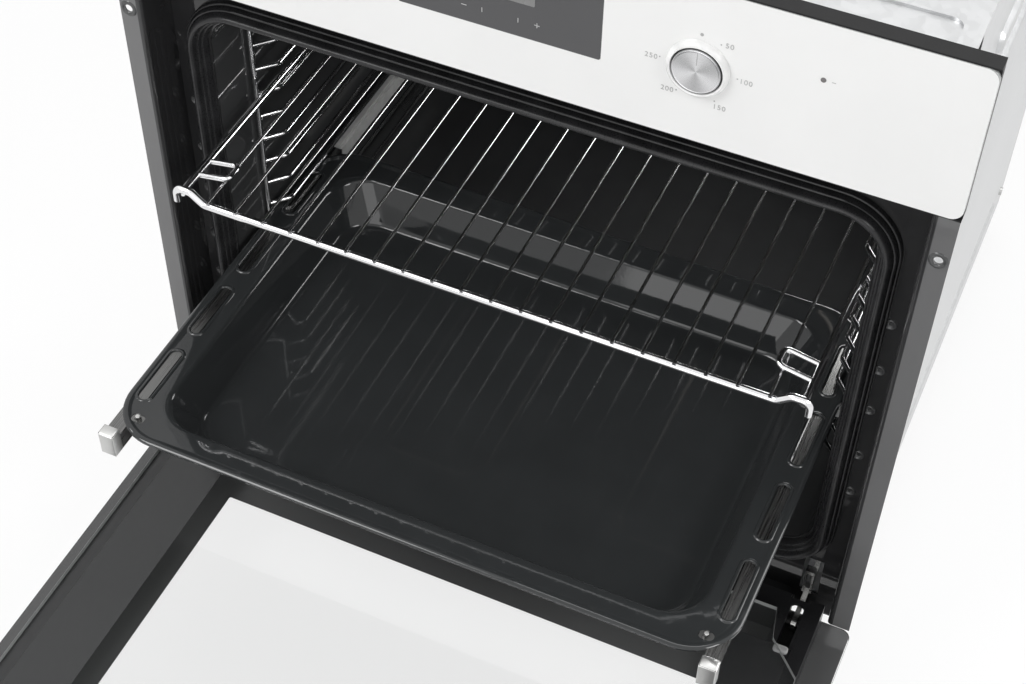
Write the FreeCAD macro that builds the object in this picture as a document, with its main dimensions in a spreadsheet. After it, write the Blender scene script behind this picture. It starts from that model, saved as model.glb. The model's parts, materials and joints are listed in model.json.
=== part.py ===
import FreeCAD, Part
import math
import os
import re
import Sketcher

# Built-in oven, 60 cm class: its door lies open, its tray and wire rack are pulled out.
# Millimetres, +Z up, the user stands on the -Y side. Origin: centre of the base, on the shelf.

# Driving sizes
SIZES = {
    # Front
    "front_width": 595, "panel_top": 595, "panel_height": 114, "panel_projection": 17,
    "panel_corner": 8, "glass_gauge": 4, "carrier_depth": 12.5, "carrier_lip": 1.2,
    "carrier_wall": 2.5, "pane_clearance": 0.15,
    # Knobs, dial lamp and clock window
    "knob_x": 129, "knob_radius": 15.9, "knob_proud": 5, "knob_depth": 28, "knob_skin": 2,
    "knob_gap": 0.5, "collar_wall": 0.7, "collar_radius": 20, "collar_proud": 4.4,
    "shaft_radius": 3, "shaft_play": 0.05, "shaft_seat": 14, "control_side": 46,
    "control_depth": 40, "window_half": 68, "window_drop": 17, "window_height": 56,
    "window_corner": 2, "clock_depth": 34, "clock_inset": 8, "lamp_dot_x": 203,
    "lamp_dot_rise": 17, "lamp_dot_radius": 1.6, "lens_proud": 0.3, "shaft_end_gap": 0.5,
    # Front frame
    "frame_gauge": 1.2, "frame_recess": 32, "flange_margin": 1.5, "wall_margin": 0.2,
    "wall_lean": 2, "flange_foot": 29, "frame_foot": 12, "recess_drop": 7,
    "support_drop": 5, "plate_lead": 4.5, "bend_radius": 3.2, "screw_hole_inset": 7,
    "screw_hole_drop": 42.5, "screw_hole_radius": 3, "sill_depth": 13, "slot_lift": 4,
    # Casing
    "base_depth": 526.8, "flange_width": 17.5, "casing_gauge": 1, "cover_drop": 15,
    "cover_gauge": 3, "cover_emboss": 2, "cover_border": 12, "trough_start": 6,
    "trough_end": 38, "trough_corner": 8, "base_flange": 40, "duct_height": 134,
    "duct_gauge": 1.2, "vent_length": 60, "vent_width": 5, "vent_pitch": 14,
    "vent_offset": 90, "vent_setback": 90, "vent_drop": 60,
    "seat_gap": 0.3, "screw_head_radius": 4, "screw_head_height": 2.4, "rear_screw_inset": 30,
    "overcut": 1,
    # Cavity
    "cavity_side": 31.5, "cavity_floor": 72, "cavity_drop": 61, "cavity_corner": 28,
    "cavity_depth": 421.8, "liner_gauge": 1, "gasket_width": 16, "gasket_depth": 14.6,
    "gasket_inset": 1.5, "gasket_round": 6, "wool_thickness": 22, "wool_gap": 9,
    # Fans and heaters
    "fan_z": 220, "fan_radius": 70, "fan_width": 18, "fan_shaft_radius": 4,
    "baffle_side": 42, "baffle_low": 92, "baffle_high": 348, "baffle_corner": 30,
    "baffle_stand": 48, "baffle_gauge": 1, "baffle_hole": 4.5, "motor_radius": 32, "motor_depth": 60,
    "ring_radius": 92, "ring_setback": 20, "terminal_stub": 12, "element_radius": 3.25,
    "element_drop": 22, "element_bend": 20, "shaft_clearance": 2,
    "grill_side": 82, "blower_half": 140, "blower_radius": 30, "blower_rise": 57.8, "blower_setback": 140,
    "blower_wall": 1.5, "inlet_lead": 6, "blower_motor_length": 50, "blade_gauge": 1,
    # Lamp and mains terminal
    "lamp_side": 59, "lamp_drop": 34, "lamp_radius": 26, "lamp_depth": 26, "lamp_wall": 2,
    "bulb_radius": 10, "terminal_width": 90, "terminal_height": 50, "terminal_depth": 22,
    "cable_radius": 6, "cable_seat": 20,
    # Side racks and telescopic rails
    "post_radius": 2.2, "guide_radius": 2, "guide_inset": 15, "post_front": 78,
    "post_span": 300, "guide_headroom": 62, "guide_low": 128, "guide_count": 11,
    "rail_travel": 235, "rail_length": 350, "rail_side": 22.5, "rail_width": 12,
    "rail_wall": 1.5, "rail_height": 13.9, "rail_play": 0.4, "rail_cap": 9,
    "rail_cap_rise": 5.3, "channel_gap": 1, "clip_half": 4, "clip_low": 2, "clip_drop": 4,
    "rail_core": 2.5, "rail_core_margin": 1, "rail_level": 2, "pin_side": 4, "pin_setback": 18,
    "pin_radius": 2.5, "pin_rise": 3, "pin_play": 1,
    # Tray
    "tray_side": 6.5, "tray_length": 342, "tray_reach": 175, "tray_corner": 40,
    "tray_gauge": 1, "tray_lip": 5, "tray_depth": 36, "tray_rim": 30, "tray_front_rim": 24,
    "tray_draft": 16, "tray_slot_length": 52, "tray_slot_width": 9, "tray_slot_pitch": 73,
    "tray_slot_count": 4, "tray_slot_inset": 12.5, "tray_slot_start": 35, "notch_margin": 1.5,
    # Wire rack
    "rack_reach": 46, "rack_length": 346, "rack_bar_radius": 2.9, "rack_wire_radius": 1.2,
    "rack_gap": 12.85, "rack_wire_count": 20, "rack_level": 8, "rack_ear": 8,
    "rack_ear_bend": 7, "rack_stop_length": 16, "rack_stop_setback": 22, "rack_stop_lift": 5,
    "rack_stop_overlap": 4, "rack_wire_gap": 0.05,
    # Door
    "door_bottom": 5, "door_gap": 4, "door_thickness": 34, "door_corner": 8,
    "hinge_height": 21, "hinge_setback": 11, "pane_margin": 3.3, "pane_low": 28,
    "pane_drop": 7, "pane_notch": 27, "pane_skew": 6, "pane_notch_high": 82, "pane_notch_low": 55,
    "column_width": 11, "door_trim": 10, "trim_vent_pitch": 120, "trim_vent_length": 80,
    "bottom_rail_height": 20, "middle_gauge": 3,
    "middle_level": 16, "door_clearance": 0.3, "hinge_width": 15, "hinge_wall": 1.5,
    "hinge_length": 140, "hinge_foot": 8, "arm_gauge": 4, "arm_eye": 4.5, "pin_size": 3,
    "arm_height": 9, "arm_reach": 28, "arm_hook": 24, "receiver_wall": 2, "slot_high": 58,
    "lock_length": 24, "lock_gauge": 1.5, "lock_setback": 8, "lock_rise": 6,
    "lock_pin_radius": 1.5, "handle_side": 67.5, "handle_drop": 47, "handle_stand": 34,
    "handle_radius": 7, "handle_post_radius": 6, "handle_post_inset": 35, "door_screw_inset": 90,
    "door_screw_lead": 20, "bail_half": 3, "bail_height": 4,
}

# Planes and lines that follow from the driving sizes
PLANES = {
    "frame_back": "-base_depth / 2",
    "rear_y": "base_depth / 2",
    "face_y": "frame_back - frame_gauge",
    "flange_y": "face_y - frame_recess",
    "front_y": "flange_y - panel_projection",
    "panel_bottom": "panel_top - panel_height",
    "panel_half": "front_width / 2",
    "flange_half": "panel_half - flange_margin",
    "casing_half": "flange_half - flange_width",
    "wall_front": "casing_half - wall_margin",
    "cavity_half": "casing_half - cavity_side",
    "baffle_half": "cavity_half - baffle_side",
    "grill_half": "cavity_half - grill_side",
    "lamp_x": "cavity_half - lamp_side",
    "rail_half": "cavity_half - rail_side",
    "pin_x": "rail_half - pin_side",
    "tray_half": "cavity_half - tray_side",
    "rack_wire_pitch": "(cavity_half - rack_gap) * 2 / (rack_wire_count + 1)",
    "guide_pitch": "(cavity_top - guide_headroom - guide_low) / (guide_count - 1)",
    "handle_half": "panel_half - handle_side",
    "handle_post_x": "handle_half - handle_post_inset",
    "handle_height": "door_top - handle_drop",
    "wall_back": "wall_front - wall_lean",
    "screw_hole_x": "flange_half - screw_hole_inset",
    "recess_top": "panel_bottom - recess_drop",
    "screw_hole_z": "recess_top - screw_hole_drop",
    "support_top": "panel_top - support_drop",
    "casing_height": "panel_top - cover_drop",
    "duct_floor": "casing_height - duct_height",
    "window_high": "panel_top - window_drop",
    "window_low": "window_high - window_height",
    "lamp_dot_z": "knob_z + lamp_dot_rise",
    "cavity_top": "panel_bottom - cavity_drop",
    "lamp_z": "cavity_top - lamp_drop",
    "pane_half": "wall_back - pane_margin",
    "pane_notch_x": "pane_half - pane_notch",
    "knob_z": "panel_top - panel_height / 2",
    "plate_y": "flange_y - plate_lead",
    "plate_back": "plate_y + frame_gauge",
    "pane_back": "front_y + glass_gauge",
    "sleeve_radius": "knob_radius + knob_gap",
    "panel_hole": "knob_radius + knob_gap + collar_wall + pane_clearance",
    "casing_top": "casing_height - cover_gauge",
    "casing_inner": "casing_half - casing_gauge",
    "rear_inner": "rear_y - casing_gauge",
    "cavity_back": "frame_back + cavity_depth",
    "liner_back": "cavity_back + liner_gauge",
    "gasket_front": "face_y - gasket_depth",
    "gasket_inner": "cavity_half + gasket_inset",
    "gasket_outer": "gasket_inner + gasket_width",
    "baffle_face": "cavity_back - baffle_stand",
    "element_z": "cavity_top - element_drop",
    "duct_top": "duct_floor + duct_gauge",
    "blower_y": "rear_inner - blower_setback",
    "blower_z": "duct_top + blower_rise",
    "guide_x": "cavity_half - seat_gap - guide_inset",
    "post_x": "cavity_half - seat_gap - post_radius",
    "rail_z": "guide_low + guide_pitch * rail_level + guide_radius + seat_gap",
    "rail_top": "rail_z + rail_height + rail_wall + rail_play",
    "tray_rim_z": "rail_top + seat_gap",
    "tray_front": "flange_y - tray_reach",
    "tray_back": "tray_front + tray_length",
    "slide_front": "tray_front - rail_cap",
    "channel_front": "slide_front + rail_cap + rail_travel + channel_gap",
    "rack_front": "flange_y - rack_reach",
    "rack_z": "guide_low + guide_pitch * rack_level + guide_radius + seat_gap + rack_bar_radius",
    "rack_side": "rack_wire_pitch * (rack_wire_count + 1) / 2",
    "door_top": "panel_bottom - door_gap",
    "hinge_y": "front_y + hinge_setback",
    "door_under": "hinge_height - hinge_setback",
    "door_over": "door_under + door_thickness",
    "core_low": "door_under + glass_gauge",
    "core_high": "door_over - glass_gauge",
    "column_x": "pane_half - column_width",
    "hinge_x": "column_x - door_clearance - hinge_width / 2",
    "handle_z": "door_under - handle_stand",
}

doc = FreeCAD.newDocument("built_in_oven")
dims = doc.addObject("Spreadsheet::Sheet", "dims")
for row, (alias, number) in enumerate(SIZES.items(), start=1):
    dims.set(f"A{row}", alias)
    dims.set(f"B{row}", str(number))
    dims.setAlias(f"B{row}", alias)
doc.recompute()

nodes = {}


def bound(formula):
    """Write a formula of size names as references to the sheet's cells."""
    def swap(match):
        word = match.group(0)
        if word in PLANES:
            return f"({bound(PLANES[word])})"
        if word in SIZES:
            return f"dims.{word}"
        return word
    return re.sub(r"[a-z][a-z_]+", swap, str(formula))


def value(formula):
    """The number that a formula of size names gives."""
    return float(dims.evalExpression(bound(formula)))


def vector(x, y, z):
    """A point given by three formulas."""
    return FreeCAD.Vector(value(x), value(y), value(z))


def up(height):
    """Y of a place on the open door, from its height on the closed door."""
    return f"(hinge_y + hinge_height - ({height}))"


def node(name, item):
    """Name an object as a finished sub-part."""
    item.Label = name
    nodes[name] = item
    return item


# Solids from primitives

def block(x, y, z):
    """Box between pairs of low and high formulas."""
    item = doc.addObject("Part::Box", "block")
    for axis, side, (low, high) in zip("xyz", ("Length", "Width", "Height"), (x, y, z)):
        item.setExpression(f"Placement.Base.{axis}", bound(low))
        item.setExpression(side, bound(f"({high}) - ({low})"))
    return item


TURNS = {
    "x": FreeCAD.Rotation(FreeCAD.Vector(0, 1, 0), 90),
    "y": FreeCAD.Rotation(FreeCAD.Vector(1, 0, 0), -90),
    "z": FreeCAD.Rotation(),
}


def rod(axis, across, span, radius):
    """Round bar along an axis, from the first to the second formula of its span."""
    item = doc.addObject("Part::Cylinder", "rod")
    item.Placement = FreeCAD.Placement(FreeCAD.Vector(), TURNS[axis])
    others = [letter for letter in "xyz" if letter != axis]
    for letter, formula in zip(others + [axis], list(across) + [span[0]]):
        item.setExpression(f"Placement.Base.{letter}", bound(formula))
    item.setExpression("Height", bound(f"({span[1]}) - ({span[0]})"))
    item.setExpression("Radius", bound(radius))
    return item


def fused(*items):
    """One solid from overlapping or touching solids."""
    item = doc.addObject("Part::MultiFuse", "fused")
    item.Shapes = list(items)
    item.Refine = True
    return item


def without(base, *tools):
    """A solid with others cut out of it."""
    item = doc.addObject("Part::Cut", "cut")
    item.Base = base
    item.Tool = tools[0] if len(tools) == 1 else fused(*tools)
    return item


def group(*items):
    """Several separate solids in one sub-part."""
    item = doc.addObject("Part::Compound", "group")
    item.Links = list(items)
    return item


def mirrored(source):
    """The left-hand copy of a right-hand solid."""
    item = doc.addObject("Part::Mirroring", "mirrored")
    item.Source = source
    item.Normal = FreeCAD.Vector(1, 0, 0)
    return item


def pair(source):
    """A right-hand solid and its left-hand copy, as one sub-part."""
    return group(source, mirrored(source))


# Solids from sketches

def polygon(*points):
    """Closed outline of straight lines, each corner given by two formulas."""
    def draw(sketch):
        places = [vector(x, y, 0) for x, y in points]
        first = sketch.GeometryCount
        for here, there in zip(places, places[1:] + places[:1]):
            sketch.addGeometry(Part.LineSegment(here, there), False)
        for index, corner in enumerate(points):
            line = first + index
            after = first + (index + 1) % len(points)
            sketch.addConstraint(Sketcher.Constraint("Coincident", line, 2, after, 1))
            for kind, formula in zip(("DistanceX", "DistanceY"), corner):
                measure(sketch, formula, kind, -1, 1, line, 1)
    return draw


def measure(sketch, formula, kind, *where):
    """Add a dimension to a sketch and bind it to a formula."""
    place = sketch.addConstraint(Sketcher.Constraint(kind, *where, value(formula)))
    sketch.setExpression(f"Constraints[{place}]", bound(formula))


def rectangle(x, y):
    """Sharp-cornered rectangle between low and high formulas."""
    return polygon((x[0], y[0]), (x[1], y[0]), (x[1], y[1]), (x[0], y[1]))


def rounded(x, y, radius):
    """Rectangle with round corners, as four lines and four tangent arcs."""
    def draw(sketch):
        left, right, low, high, bend = (value(item) for item in (*x, *y, radius))
        ends = [((left + bend, low), (right - bend, low)), ((right, low + bend), (right, high - bend)),
                ((right - bend, high), (left + bend, high)), ((left, high - bend), (left, low + bend))]
        centres = [(right - bend, low + bend), (right - bend, high - bend),
                   (left + bend, high - bend), (left + bend, low + bend)]
        first = sketch.GeometryCount
        for side in range(4):
            here, there = (FreeCAD.Vector(*end, 0) for end in ends[side])
            sketch.addGeometry(Part.LineSegment(here, there), False)
            ring = Part.Circle(FreeCAD.Vector(*centres[side], 0), FreeCAD.Vector(0, 0, 1), bend)
            start = (side - 1) * math.pi / 2
            sketch.addGeometry(Part.ArcOfCircle(ring, start, start + math.pi / 2), False)
        for step in range(8):
            after = first + (step + 1) % 8
            sketch.addConstraint(Sketcher.Constraint("Tangent", first + step, 2, after, 1))
        for side, kind in enumerate(("Horizontal", "Vertical", "Horizontal", "Vertical")):
            sketch.addConstraint(Sketcher.Constraint(kind, first + 2 * side))
        for side in (1, 2, 3):
            sketch.addConstraint(Sketcher.Constraint("Equal", first + 1, first + 2 * side + 1))
        measure(sketch, radius, "Radius", first + 1)
        for side, kind, formula in ((6, "DistanceX", x[0]), (2, "DistanceX", x[1]),
                                    (0, "DistanceY", y[0]), (4, "DistanceY", y[1])):
            measure(sketch, formula, kind, -1, 1, first + side, 1)
    return draw


def circle(x, y, radius):
    """Round outline about a centre given by two formulas."""
    def draw(sketch):
        ring = Part.Circle(vector(x, y, 0), FreeCAD.Vector(0, 0, 1), value(radius))
        place = sketch.addGeometry(ring, False)
        measure(sketch, x, "DistanceX", -1, 1, place, 3)
        measure(sketch, y, "DistanceY", -1, 1, place, 3)
        measure(sketch, radius, "Radius", place)
    return draw


def sketched(body, plane, height, outlines):
    """Sketch on one of the body's own origin planes, moved along its normal."""
    role = {"xy": "XY_Plane", "xz": "XZ_Plane", "yz": "YZ_Plane"}[plane]
    sign = "-1" if plane == "xz" else "1"
    sketch = body.newObject("Sketcher::SketchObject", "outline")
    support = [item for item in body.Origin.OriginFeatures if item.Role == role][0]
    sketch.AttachmentSupport = [(support, "")]
    sketch.MapMode = "FlatFace"
    sketch.setExpression("AttachmentOffset.Base.z", bound(f"{sign} * ({height})"))
    for draw in outlines:
        draw(sketch)
    return sketch


def new_body():
    """Empty body for sketched features."""
    return doc.addObject("PartDesign::Body", "body")


def pad(body, plane, low, high, *outlines):
    """Fill outlines between two heights along the plane's axis."""
    item = body.newObject("PartDesign::Pad", "pad")
    item.Profile = sketched(body, plane, high if plane == "xz" else low, outlines)
    item.setExpression("Length", bound(f"({high}) - ({low})"))
    return body


def pocket(body, plane, low, high, *outlines):
    """Cut outlines between two heights along the plane's axis."""
    item = body.newObject("PartDesign::Pocket", "pocket")
    item.Profile = sketched(body, plane, low if plane == "xz" else high, outlines)
    item.setExpression("Length", bound(f"({high}) - ({low})"))
    return body


def loft(body, kind, lower, upper):
    """Loft between two (height, outline) sections that lie flat."""
    item = body.newObject(f"PartDesign::{kind}Loft", "loft")
    item.Profile = sketched(body, "xy", lower[0], [lower[1]])
    item.Sections = [sketched(body, "xy", upper[0], [upper[1]])]
    item.Ruled = True
    return body


def rounded_edges(body, radius, wanted):
    """Round those edges of a body whose middle point is wanted."""
    doc.recompute()
    tip = body.Tip
    names = [f"Edge{place}" for place, edge in enumerate(tip.Shape.Edges, start=1)
             if wanted(edge.valueAt((edge.FirstParameter + edge.LastParameter) / 2), edge)]
    item = body.newObject("PartDesign::Fillet", "rounding")
    item.Base = (tip, names)
    item.setExpression("Radius", bound(radius))
    return body


def fan_axis(body, count):
    """Repeat the body's last feature round the fan's own axis."""
    last = body.Tip
    line = body.newObject("PartDesign::Line", "axis")
    line.Placement = FreeCAD.Placement(FreeCAD.Vector(), TURNS["y"])
    line.setExpression("Placement.Base.z", bound("fan_z"))
    pattern = body.newObject("PartDesign::PolarPattern", "ring")
    pattern.Originals = [last]
    pattern.Axis = (line, [""])
    pattern.Angle = 360
    pattern.Occurrences = count
    body.Tip = pattern


def stepped(body, role, pitch, count):
    """Repeat the body's last feature in a row along one of its axes."""
    last = body.Tip
    pattern = body.newObject("PartDesign::LinearPattern", "row")
    pattern.Originals = [last]
    pattern.Direction = ([item for item in body.Origin.OriginFeatures if item.Role == role][0], [""])
    pattern.setExpression("Length", bound(f"({pitch}) * {count - 1}"))
    pattern.Occurrences = count
    body.Tip = pattern


# Bent bars

def bar_path(points, bend):
    """Straight runs joined by tangent arcs of one bend radius."""
    edges = []
    start = points[0]
    for before, corner, after in zip(points, points[1:], points[2:]):
        inward = (before - corner).normalize()
        outward = (after - corner).normalize()
        half = inward.getAngle(outward) / 2
        reach = bend / math.tan(half)
        middle = (inward + outward).normalize()
        enter = corner + inward * reach
        leave = corner + outward * reach
        crown = corner + middle * (bend / math.sin(half) - bend)
        if (enter - start).Length > 1e-6:
            edges.append(Part.LineSegment(start, enter).toShape())
        edges.append(Part.Arc(enter, crown, leave).toShape())
        start = leave
    edges.append(Part.LineSegment(start, points[-1]).toShape())
    return Part.Wire(edges)


def bent_bar(points, bend, radius):
    """Round bar along a path of points, bent with one radius."""
    path = bar_path(points, bend)
    ring = Part.makeCircle(radius, points[0], points[1] - points[0])
    return path.makePipeShell([Part.Wire(ring)], True, False)


def straight_bar(start, end, radius):
    """Round bar between two points."""
    return Part.makeCylinder(radius, (end - start).Length, start, end - start)


def shaped(shape):
    """Object that holds a ready shape."""
    item = doc.addObject("Part::Feature", "shaped")
    item.Shape = shape
    return item


def welded(bars):
    """One solid from crossing bars."""
    return bars[0].multiFuse(bars[1:])


# Front frame

def make_front_frame():
    """Enamelled frame: screw flanges, recess walls, face round the mouth, plate behind the panel."""
    mouth = rounded(("-cavity_half", "cavity_half"), ("cavity_floor", "cavity_top"), "cavity_corner")
    slot_x = ("hinge_x - hinge_width / 2", "hinge_x + hinge_width / 2")
    slots = [rectangle(slot_x, ("frame_foot + slot_lift", "slot_high")),
             rectangle((f"-({slot_x[1]})", f"-({slot_x[0]})"), ("frame_foot + slot_lift", "slot_high"))]
    face = pad(new_body(), "xz", "face_y", "frame_back",
               rectangle(("-casing_half", "casing_half"), ("frame_foot", "recess_top")), mouth, *slots)
    strip = pad(new_body(), "xy", "flange_foot", "recess_top",
                polygon(("flange_half", "flange_y"), ("wall_front", "flange_y"), ("wall_back", "face_y"),
                        ("wall_back", "frame_back"), ("wall_back + frame_gauge", "frame_back"),
                        ("wall_front + frame_gauge", "flange_y + frame_gauge"),
                        ("flange_half", "flange_y + frame_gauge")))
    corner_x, corner_y = value("wall_front"), value("flange_y")
    rounded_edges(strip, "bend_radius", lambda middle, edge: abs(middle.x - corner_x) < 0.01
                  and abs(middle.y - corner_y) < 0.01)
    screw_hole = rod("y", ("screw_hole_x", "screw_hole_z"),
                     ("flange_y - overcut", "flange_y + frame_gauge + overcut"), "screw_hole_radius")
    flange = without(strip, screw_hole)
    ear = block(("casing_half + seat_gap", "flange_half"), ("flange_y", "flange_y + frame_gauge"),
                ("recess_top", "support_top"))
    ceiling = block(("-wall_front - bend_radius", "wall_front + bend_radius"), ("plate_y", "frame_back"),
                    ("recess_top", "recess_top + frame_gauge"))
    plate = pad(new_body(), "xz", "plate_y", "plate_back",
                rectangle(("-wall_front", "wall_front"), ("recess_top", "support_top")),
                circle("knob_x", "knob_z", "panel_hole"), circle("-knob_x", "knob_z", "panel_hole"),
                rectangle(("-window_half", "window_half"), ("window_low", "window_high")))
    sill = block(("-casing_half", "casing_half"), ("face_y - sill_depth", "face_y"),
                 ("frame_foot", "frame_foot + frame_gauge"))
    node("front_frame", fused(face, flange, mirrored(flange), ear, mirrored(ear), ceiling, plate, sill))


def make_gasket():
    """Silicone tube round the mouth, with a round crown."""
    outer = rounded(("-gasket_outer", "gasket_outer"),
                    ("cavity_floor - gasket_inset - gasket_width",
                     "cavity_top + gasket_inset + gasket_width"),
                    "cavity_corner + gasket_inset + gasket_width")
    inner = rounded(("-gasket_inner", "gasket_inner"),
                    ("cavity_floor - gasket_inset", "cavity_top + gasket_inset"),
                    "cavity_corner + gasket_inset")
    ring = pad(new_body(), "xz", "gasket_front", "face_y", outer, inner)
    crown = value("gasket_front")
    rounded_edges(ring, "gasket_round", lambda middle, edge: abs(middle.y - crown) < 0.01)
    node("door_gasket", ring)


# Casing

def make_casing():
    """Side, top, rear and base sheets round the cavity, with the duct floor."""
    side = block(("casing_inner", "casing_half"), ("frame_back", "rear_inner"), ("0", "casing_top"))
    node("side_panel_right", side)
    node("side_panel_left", mirrored(side))
    cover = pad(new_body(), "xy", "casing_top", "casing_height",
                rectangle(("-casing_half", "casing_half"), ("plate_back + seat_gap", "rear_y")))
    trough = rounded(("-casing_half + cover_border", "casing_half - cover_border"),
                     ("flange_y + trough_start", "flange_y + trough_end"), "trough_corner")
    pocket(cover, "xy", "casing_height - cover_emboss", "casing_height", trough)
    pocket(cover, "xy", "casing_top", "casing_height", *vents("rear_y - vent_setback"))
    stepped(cover, "Y_Axis", "vent_pitch", 4)
    node("top_cover", cover)
    rear = pad(new_body(), "xz", "rear_inner", "rear_y",
               rectangle(("-casing_half", "casing_half"), ("0", "casing_top")))
    pocket(rear, "xz", "rear_inner", "rear_y", *vents("casing_top - vent_drop"))
    stepped(rear, "Z_Axis", "vent_pitch", 4)
    node("rear_panel", rear)
    floor = block(("-casing_inner", "casing_inner"), ("frame_back", "rear_inner"), ("0", "casing_gauge"))
    lip = block(("-casing_inner", "casing_inner"), ("frame_back", "frame_back + casing_gauge"),
                ("0", "base_flange"))
    slot_x = ("hinge_x - hinge_width / 2 - overcut", "hinge_x + hinge_width / 2 + overcut")
    gap = block(slot_x, ("frame_back - overcut", "frame_back + casing_gauge + overcut"),
                ("frame_foot", "base_flange + overcut"))
    node("base_plate", without(fused(floor, lip), gap, mirrored(gap)))
    duct = block(("-casing_inner + seat_gap", "casing_inner - seat_gap"),
                 ("frame_back + seat_gap", "rear_inner - seat_gap"), ("duct_floor", "duct_top"))
    node("duct_floor_plate", duct)


def vents(line):
    """First slot of each of two rows of cooling slots about the middle of a sheet."""
    return [rounded((f"{middle} - vent_length / 2", f"{middle} + vent_length / 2"),
                    (line, f"{line} + vent_width"),
                    "vent_width * 0.4") for middle in ("-vent_offset", "vent_offset")]


def make_cavity():
    """Enamelled liner and the mineral wool wrapped round it."""
    liner = pad(new_body(), "xz", "frame_back", "liner_back",
                rounded(("-cavity_half - liner_gauge", "cavity_half + liner_gauge"),
                        ("cavity_floor - liner_gauge", "cavity_top + liner_gauge"),
                        "cavity_corner + liner_gauge"))
    pocket(liner, "xz", "frame_back", "cavity_back",
           rounded(("-cavity_half", "cavity_half"), ("cavity_floor", "cavity_top"), "cavity_corner"))
    terminal = "element_radius + seat_gap"
    pocket(liner, "xz", "cavity_back", "liner_back",
           circle("0", "fan_z", "fan_shaft_radius + shaft_clearance"),
           circle("lamp_x", "lamp_z", "lamp_radius - lamp_wall"),
           *[circle(f"{side} * element_bend * 1.5", "element_z", terminal) for side in (-1, 1)],
           *[circle(f"{side} * element_bend", "fan_z - ring_radius", terminal) for side in (-1, 1)])
    node("cavity_liner", liner)
    reach = "cavity_half + liner_gauge + seat_gap"
    wool = pad(new_body(), "xz", "frame_back + arm_reach + receiver_wall + seat_gap", "liner_back",
               rectangle((f"-({reach}) - wool_thickness", f"{reach} + wool_thickness"),
                         ("cavity_floor - liner_gauge - wool_gap - 12", "duct_floor - seat_gap")),
               rounded((f"-({reach})", reach),
                       ("cavity_floor - liner_gauge - wool_gap", "cavity_top + liner_gauge + seat_gap"),
                       "cavity_corner + liner_gauge"))
    node("insulation_blanket", wool)


# Control panel

def make_control_panel():
    """White glass in a dark carrier, with its clock window and signal lamp."""
    high = "panel_top - carrier_lip"
    low = "panel_bottom + carrier_lip"
    holes = [circle("knob_x", "knob_z", "panel_hole"), circle("-knob_x", "knob_z", "panel_hole"),
             circle("lamp_dot_x", "lamp_dot_z", "lamp_dot_radius + pane_clearance")]
    glass = pad(new_body(), "xz", "front_y", "pane_back",
                rounded(("-panel_half", "panel_half"),
                        (f"{low} + pane_clearance", f"{high} - pane_clearance"),
                        "panel_corner"),
                rounded(("-window_half", "window_half"), ("window_low", "window_high"), "window_corner"),
                *holes)
    node("control_panel_glass", glass)
    back = "front_y + carrier_depth"
    carrier = pad(new_body(), "xz", "front_y + 0.6", back,
                  rectangle(("-panel_half", "panel_half"), ("panel_bottom", "panel_top")))
    pocket(carrier, "xz", "front_y", "pane_back",
           rectangle(("-panel_half - overcut", "panel_half + overcut"), (low, high)))
    pocket(carrier, "xz", "pane_back + carrier_wall", f"{back} + overcut",
           rectangle(("-panel_half + carrier_wall", "panel_half - carrier_wall"),
                     ("panel_bottom + carrier_wall", "panel_top - carrier_wall")))
    pocket(carrier, "xz", "pane_back", "pane_back + carrier_wall + overcut",
           rectangle(("-window_half + clock_inset", "window_half - clock_inset"),
                     ("window_low + clock_inset / 2", "window_high - clock_inset / 2")), *holes)
    boss_x = "wall_front - 20"
    boss = block((f"{boss_x} - 6", f"{boss_x} + 6"), ("pane_back + carrier_wall", "plate_y"),
                 ("panel_bottom + 20", "panel_top - 20"))
    node("control_panel_carrier", fused(carrier, boss, mirrored(boss)))
    node("clock_window", pad(new_body(), "xz", "front_y", "pane_back",
                             rounded(("-window_half + pane_clearance", "window_half - pane_clearance"),
                                     ("window_low + pane_clearance", "window_high - pane_clearance"),
                                     "window_corner")))
    edge = "(clock_inset + seat_gap)"
    node("clock_module", block((f"-window_half + {edge}", f"window_half - {edge}"),
                               ("pane_back", "pane_back + clock_depth"),
                               ("window_low + clock_inset / 2 + seat_gap",
                                "window_high - clock_inset / 2 - seat_gap")))
    lens = rod("y", ("lamp_dot_x", "lamp_dot_z"), ("front_y - lens_proud", "pane_back + carrier_wall"),
               "lamp_dot_radius")
    node("signal_lens", lens)


def make_control(side, names):
    """Collar, knob, shaft and switch body of one control."""
    collar_name, knob_name, shaft_name, switch_name = names
    place = (f"{side} * knob_x", "knob_z")
    knob_face = "front_y - knob_proud"
    knob_rear = f"{knob_face} + knob_depth"
    sleeve = rod("y", place, ("front_y - collar_proud", "plate_back"), "sleeve_radius + collar_wall")
    brim = rod("y", place, ("front_y - collar_proud", "front_y"), "collar_radius")
    bore = rod("y", place, ("front_y - collar_proud - overcut", "plate_back + overcut"), "sleeve_radius")
    node(collar_name, without(fused(sleeve, brim), bore))
    cap = rod("y", place, (knob_face, knob_rear), "knob_radius")
    socket = rod("y", place, (f"{knob_face} + knob_skin", f"{knob_rear} + overcut"),
                 "shaft_radius + shaft_play")
    node(knob_name, without(cap, socket))
    switch_front = f"{knob_rear} + 2"
    shaft = rod("y", place, (f"{knob_face} + knob_skin + shaft_end_gap", f"{switch_front} + shaft_seat"),
                "shaft_radius")
    node(shaft_name, shaft)
    half = "control_side / 2"
    case = block((f"{place[0]} - {half}", f"{place[0]} + {half}"),
                 ("plate_back", f"{switch_front} + control_depth"),
                 (f"knob_z - {half}", f"knob_z + {half}"))
    well = rod("y", place, ("plate_back - overcut", switch_front), "panel_hole + 2")
    seat = rod("y", place, (f"{switch_front} - overcut", f"{switch_front} + shaft_seat + overcut"),
               "shaft_radius + shaft_play")
    node(switch_name, without(case, well, seat))


# Fans, heaters and lamp

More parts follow.
